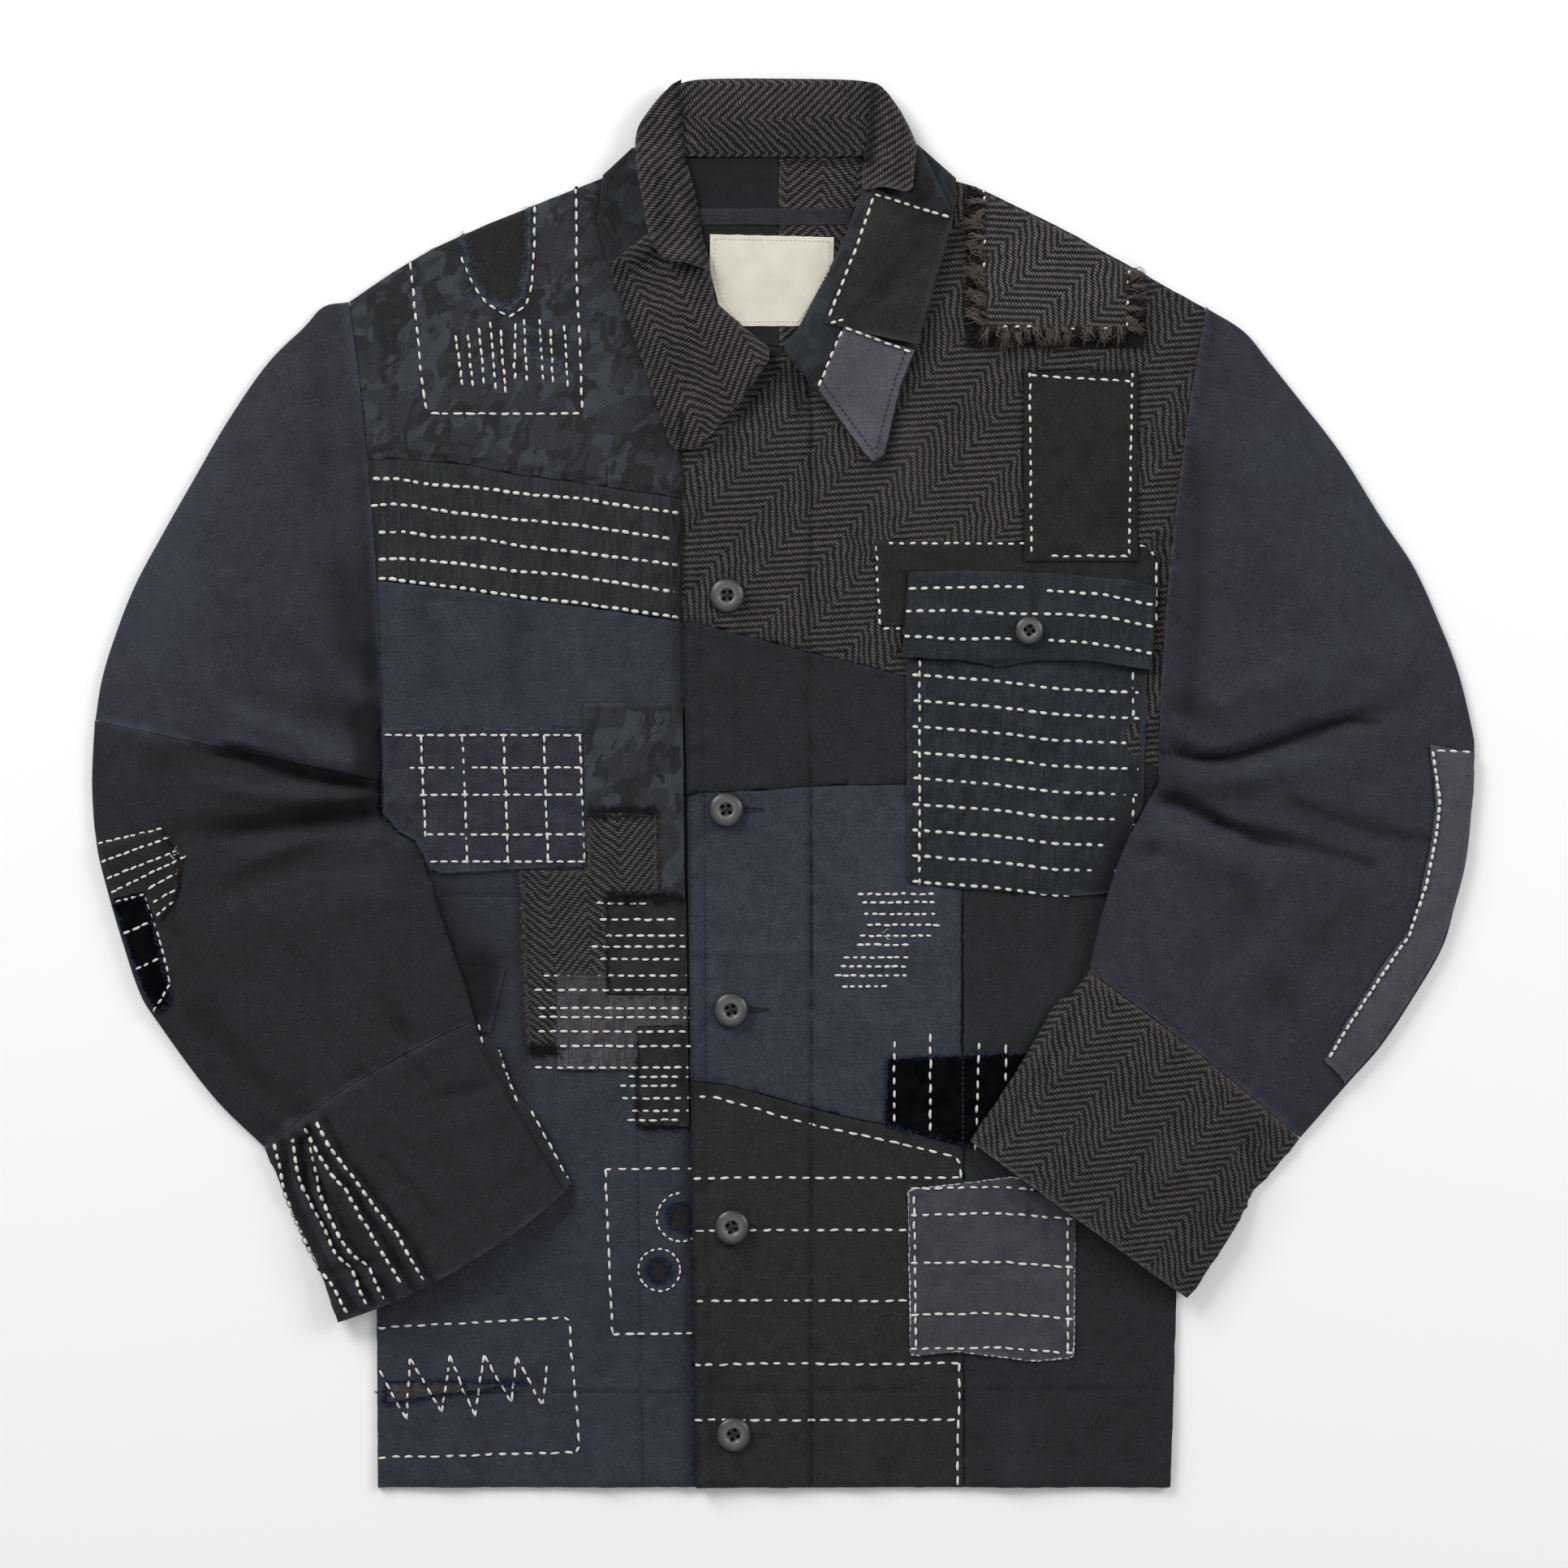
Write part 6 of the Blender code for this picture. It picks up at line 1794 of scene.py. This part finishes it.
def sew(name, table, width=1.5, seed=5, covers=()):
    segs, widths = [], []
    for k, row in enumerate(table):
        part = 0.2 * row[2] if len(row) < 6 else 0
        more = np.array(dashes(row[0], row[1] + part, row[2] - part, seed * 100 + k, 0.6 if len(row) > 5 else 1.0))
        more = list(more[uncovered((more[:, 0] + more[:, 2]) / 2, (more[:, 1] + more[:, 3]) / 2, covers)])
        segs += more
        widths += [row[5] if len(row) > 5 else width] * len(more)
    segs, widths = np.array(segs), np.array(widths)
    reach = segs[:, 2:] - segs[:, :2]
    reach = 0.4 * reach / np.hypot(*reach.T)[:, None]
    # a flat dark outline a little larger than each stitch: painted shade for the dimple the stitch pulls into the
    # cloth
    threads(
        name + "_painted_shade_outline", np.column_stack([segs[:, :2] - reach, segs[:, 2:] + reach]), SHADE_DECAL, widths + 0.85, 0.16, 0.02,
        4, 4, seed, 0.1
    )
    threads(name, segs, WHITE, widths, 0.5, seed=seed)


COLLAR_SEWING = [
    *sewn([[(50, 325), (91, 313)], [(49, 323), (40, 296), (25, 258)]], 4.0, 1.75, 0, 0, 1.65),
    ([(26, 254), (33, 256)], 3.2, 1.6, 0, 0, 1.65),
    *sewn([[(34, 251.5), (70, 239)], [(32, 250), (19, 219)]], 4.0, 1.75, 0, 0, 1.65),
]
FLAP_ROWS = [
    [(69, 108), (119, 109), (133, 109)],
    [(145, 107), (175, 105), (204, 99)],
    [(67, 95.5), (97, 96), (122, 94), (150, 94), (180, 92), (204, 87)],
    [(66, 82), (95, 80), (122, 80.5), (126, 80)],
    [(146, 79.5), (168, 78), (190, 75), (204, 72)],
]
sew("white_stitches_left", HAND_L, seed=5, covers=(*OVER_FRONTS, "cloth_front_r_lower"))
sew("white_stitches_right", HAND_R, seed=6, covers=OVER_FRONTS)
sew("white_stitches_flap", sewn(FLAP_ROWS, 3.75, 2.6, 0, 0, 1.85), seed=7, covers=ARMS)
sew("white_stitches_collar", COLLAR_SEWING, 1.35, seed=8)
sew("white_stitches_sleeve_left", HAND_ARM_L, 1.4, seed=9)
sew("white_stitches_sleeve_right", HAND_ARM_R, 1.4, seed=10)

DARK_LINES = [
    *[r for r, _ in MACHINE_L + MACHINE_R],
    [(71, 93), (71, -52), (99, -55), (162, -59)],
    [(-216, 250), (-215, 120)],
    [(128, -2), (99, -2), (99, -200)],
]
# dark flat dashes along the collar's roll: painted shade in the crease where the collar turns over
threads(
    "collar_roll_shade", dashes([(-55, 347.2), (-20, 347), (20, 347), (46.6, 347.2)], 9.0, 0.1, 960, 0.3), SHADE_DECAL, 1.5,
    0.55, 0.1, 6, 4, 12, 0.3
)
COLLAR_LINES = [
    [(-62, 190), (-70, 222), (-82, 257), (-91, 283)],
    [(88, 311), (78, 276), (68.5, 243), (60, 219), (51, 185)],
    [(49, 184), (21, 222)],
]
dark_stitches = np.array([d for k, line in enumerate(DARK_LINES) for d in dashes(line, 2.3, 0.7, 900 + k, 0.3)])
dark_stitches = dark_stitches[uncovered(dark_stitches[:, 0], dark_stitches[:, 1], OVER_FRONTS)]
collar_stitches = [d for k, line in enumerate(COLLAR_LINES) for d in dashes(line, 2.3, 0.7, 930 + k, 0.3)]
threads("dark_topstitching", [*dark_stitches, *collar_stitches], DARK, 0.8, 0.16, 0.15, 4, 4)

label_ring = [
    (-38.5, 302), (-38.5, 286), (-34.5, 268), (-25, 256), (8, 256), (14, 265), (25, 284), (25, 300.5), (-38.5, 302)
]
threads(
    "label_stitching",
    [d for k, (a, b) in enumerate(zip(label_ring, label_ring[1:])) for d in dashes([a, b], 1.6, 1.0, 950 + k, 0.3)],
    CREAM, 0.6, 0.2, 0.1, 4, 4
)

# buttons are sewn on through their holes, and each of the lower four has its buttonhole beside it
cross = []
for holes, z in BUTTON_HOLES:
    cross += [(*holes[0], *holes[2]), (*holes[1], *holes[3]), (*holes[0], *holes[1]), (*holes[2], *holes[3])]
for (holes, z), (_, cx, cy, r) in zip(BUTTON_HOLES, BUTTONS):
    stack[tuple(np.meshgrid(
        np.arange(int(cx - 4) - GX, int(cx + 5) - GX), np.arange(int(cy - 4) - GY, int(cy + 5) - GY), indexing="ij"
    ))] = z
threads("button_thread", cross[::4] + cross[1::4], DARK, 0.6, 0.1, 1.2, 6, 6, flat=0.9)
worked = []
for name, cx, cy, r in BUTTONS[1:5]:
    for k in range(22):
        x, reach = cx + 9.2 + 0.55 * k, 2.4 - 0.075 * k
        worked += [(x, cy + 0.1, x + 0.3, cy + reach), (x, cy - 0.1, x + 0.3, cy - reach)]
for k in range(22):
    y = 95.5 + 0.55 * k
    worked += [(137.6, y, 139.1, y + 0.1), (137.4, y, 135.9, y + 0.1)]
threads("buttonholes", worked, DARK, 0.62, 0.3, 0.1, 4, 4)

SHOULDER = [(110.4, 326.5), (110.4, 252), (190.4, 252), (190.4, 285.5)]


def tufts(line, every, length, count, side, seed, lean=0.55, spread=0.3, wide=0.9):
    """Bundles of yarn that stand out of a raw edge: starts and headings, bundle by bundle."""
    rng = np.random.default_rng(seed)
    pts, run = measured(line)
    n = int(run[-1] / every)
    s = np.clip((np.arange(n) + 0.5) * run[-1] / n + rng.normal(0, every * 0.2, n), 0, run[-1] - 1e-3)
    at, d = along(pts, run, s)
    angle = np.arctan2(d[:, 0] * side, -d[:, 1] * side) + rng.normal(0, lean, n)
    size = length * rng.uniform(0.65, 1.2, n)
    angle = angle[:, None] + rng.normal(0, spread, (n, count))
    size = size[:, None] * rng.uniform(0.55, 1.1, (n, count))
    starts = at[:, None, :] + rng.normal(0, wide, (n, count, 2))
    return starts, np.stack([np.cos(angle) * size, np.sin(angle) * size], -1)


starts, heads = tufts(SHOULDER, 2.6, 10.5, 26, -1, 41, 0.45, 0.14, 0.75)
for word, bundles, mat, thick, lift in (
    ("black", slice(0, None, 2), FUZZ_BLACK, 0.95, (0.3, 2.6)),
    ("tan", slice(1, None, 2), FUZZ_TWEED, 0.85, (1.0, 3.4))
):
    yarns(
        "fringe_shoulder_" + word, starts[bundles].reshape(-1, 2), heads[bundles].reshape(-1, 2), mat, thick, lift,
        0.3, 43, 5
    )
SHOWING = [
    (110.6, 328.5), (110.9, 324), (110.7, 287.4), (110.9, 300), (122.2, 253), (129, 253), (135.5, 253),
    (159.5, 251.5), (178, 252), (190, 266.2), (190, 254.5), (191, 283.2), (190.5, 277.8)
]
shown = []
for k, (x, y) in enumerate(SHOWING):
    dx, dy = (0.3, 1.3) if k < 4 or k > 8 else (1.4, 0.2)  # upright along the sides, level along the bottom
    shown.append((x - dx, y - dy, x + dx, y + dy))
threads("white_stitches_shoulder", shown, WHITE, 1.4, 1.6, seed=11)
LOOSE = [
    ((167, 250), (10, -4)), ((54, -82), (4, 2)), ((55, -84), (3.5, -2)), ((-337, -38), (3, 3)),
    ((-338, -39), (2, -3)), ((-337, -39), (3.5, 0.5)), ((-335.5, -50), (2, 3))
]
yarns("loose_white_threads", [a for a, _ in LOOSE], [b for _, b in LOOSE], WHITE, 0.55, (0.5, 1.2), 0.5, 45, 8)


def ring_of(node):
    r = outlines(node)[0][0]
    return [*r, r[0]]


def facing(ring):
    """1 if the outside is to the left of the ring's lines."""
    return -1 if area_of(ring) > 0 else 1


SPECKS = [
    ((-145, 250.5), 9, 0.5), ((-144.5, 250), -1, -9), ((-143, 241.5), 8, -1), ((-135, 249), 1, -9),
    ((-166, 237), 4, -9), ((-160, 238), 2, -8), ((-129, 237), 3, -5), ((-139, 236), 6, -1)
]
pale = [fray([a, (a[0] + dx, a[1] + dy)], 5, 2.0, 1.2, 1, 0.5, 50 + k) for k, (a, dx, dy) in enumerate(SPECKS)]
pale += [fray(WORN_THROUGH, 7, 2.6, 1.0, 1, 0.45, 58, 0.0), fray(WORN_THROUGH, 4, 3.4, 0.8, 1, 0.2, 59)]
ring = ring_of("patch_l_grid")
pale.append(fray(ring, 3.0, 2.0, 0.9, facing(ring), 0.45, 60))
yarns("frayed_pale_edges", *join(*pale), FUZZ_PALE, 0.42, (0.2, 1.0), 1.3, 72)
blue = []
for k, (node, thick, size) in enumerate((("patch_r_velvet", 2.7, 2.0), ("patch_sleeve_l_velvet", 3.3, 1.8))):
    ring = ring_of(node)
    blue.append(fray(ring, thick, size, 0.9, facing(ring), 0.45, 61 + k))
for k, ring in enumerate(outlines("front_l_panel")[0][1:]):
    ring = [*ring, ring[0]]
    blue.append(fray(ring, 5.0, 2.0, 0.9, facing(ring), 0.55, 70 + k))
yarns("frayed_blue_edges", *join(*blue), FUZZ_BLUE, 0.45, (0.2, 1.0), 1.2, 71, covers=ARMS[3:])

dark = [
    fray([(-108, -16), (-70.5, -16)], 7, 4.5, 0.6, 1, 0.35, 80),
    fray([(-97.8, -63), (-53.5, -63)], 7, 4.5, 0.6, 1, 0.35, 81),
    fray([(-141.3, -146), (-125.6, -146)], 7, 5.5, 0.6, -1, 0.2, 82),
    fray([(-80, -189.5), (-52.6, -190)], 6, 3.0, 0.7, -1, 0.3, 83),
    fray([(-80.6, -134.5), (-80.6, -189)], 3, 2.2, 0.9, -1, 0.4, 84),
    fray([(-97.6, -64), (-97.6, -116)], 3, 2.2, 0.9, -1, 0.4, 85),
    fray([(-97.6, -116.5), (-54, -116.5)], 3, 2.4, 0.8, -1, 0.4, 86),
    fray([(-344, -24), (-335, -38), (-334, -58), (-342, -72)], 3, 2.0, 0.8, 1, 0.4, 88),
]
yarns("frayed_black_edges", *join(*dark), FUZZ_BLACK, 0.6, (0.2, 1.4), 0.7, 87)
wool = [
    fray([(-145.4, -48), (-143.5, -100), (-141.3, -145)], 3.5, 2.6, 0.8, -1, 0.4, 90),
    fray([(-107.6, -17), (-107.8, -48)], 3.0, 2.2, 0.8, -1, 0.4, 91),
    fray([(-71, -18), (-71, -60)], 4.0, 2.4, 0.8, 1, 0.4, 92),
    fray([(-125.6, -106), (-98, -106)], 3.0, 2.4, 0.8, -1, 0.4, 93),
]
wool.append(fray(armhole(ARM_R[0])[:9], 2.0, 1.4, 0.9, 1, 0.5, 95))
yarns("frayed_wool_edges", *join(*wool), FUZZ_TWEED, 0.6, (0.2, 1.1), 0.7, 94)
grey = []
for k, (node, thick) in enumerate((("patch_r_grey", 1.6), ("patch_sleeve_r_elbow", 0.9), ("patch_l_mauve", 1.5))):
    ring = ring_of(node)
    grey.append(fray(ring, thick, 1.3, 0.9, facing(ring), 0.6, 100 + k))
yarns(
    "frayed_grey_edges", *join(*grey), FUZZ_GREY, 0.45, (0.1, 0.6), 0.7, 104, covers=("cloth_cuff_r", "cloth_cuff_l")
)

# the grey patch is bound along its raw edge with one pale yarn
bound = np.array(dashes(ring_of("patch_r_grey"), 3.6, 0.15, 970, 0.5))
bound = bound[uncovered(bound[:, 0], bound[:, 1], ("cloth_cuff_r",))]
threads("pale_bound_edges", bound, BINDING, 1.0, 0.45, 0.1, 4, 6, 13, 0.6)

# ------------------------------------------------------------------ surface, light and camera
CAMERA_HEIGHT = 2.415  # metres; the lens sees the whole jacket from there


def stage():
    floor_mat = bpy.data.materials.new("white_surface")
    floor_mat.use_nodes = True
    shader = floor_mat.node_tree.nodes["Principled BSDF"]
    shader.inputs["Base Color"].default_value = (0.9, 0.9, 0.9, 1)
    shader.inputs["Roughness"].default_value = 1.0
    shader.inputs["Specular IOR Level"].default_value = 0.0
    bpy.ops.mesh.primitive_plane_add(size=8, location=(0, 0, -0.0006))
    floor = bpy.context.object
    floor.name = "white_floor"
    floor.data.materials.append(floor_mat)


def light(name, place, size, power):
    data = bpy.data.lights.new(name, "AREA")
    data.energy, data.shape, data.size = power, "SQUARE", size
    obj = bpy.data.objects.new(name, data)
    obj.location = place
    obj.rotation_euler = (Vector((0, 0, 0)) - Vector(place)).to_track_quat("-Z", "Y").to_euler()
    bpy.context.scene.collection.objects.link(obj)


stage()
light("key_upper_left", (-1.5, 1.7, 1.4), 1.3, 56)
light("key_upper_right", (1.9, 0.9, 1.4), 1.0, 27)
light("fill_below", (0.1, -1.9, 2.0), 1.6, 5)
world = bpy.data.worlds.new("studio")
world.use_nodes = True
world.node_tree.nodes["Background"].inputs["Color"].default_value = (1, 1, 1, 1)
world.node_tree.nodes["Background"].inputs["Strength"].default_value = 0.42
bpy.context.scene.world = world
bpy.context.scene.view_settings.view_transform = "Standard"
bpy.context.scene.view_settings.look = "None"

lens = bpy.data.cameras.new("overhead")
lens.lens, lens.sensor_width = 100, 36
camera = bpy.data.objects.new("overhead", lens)
camera.location = (0, 0, CAMERA_HEIGHT)
bpy.context.scene.collection.objects.link(camera)
bpy.context.scene.camera = camera
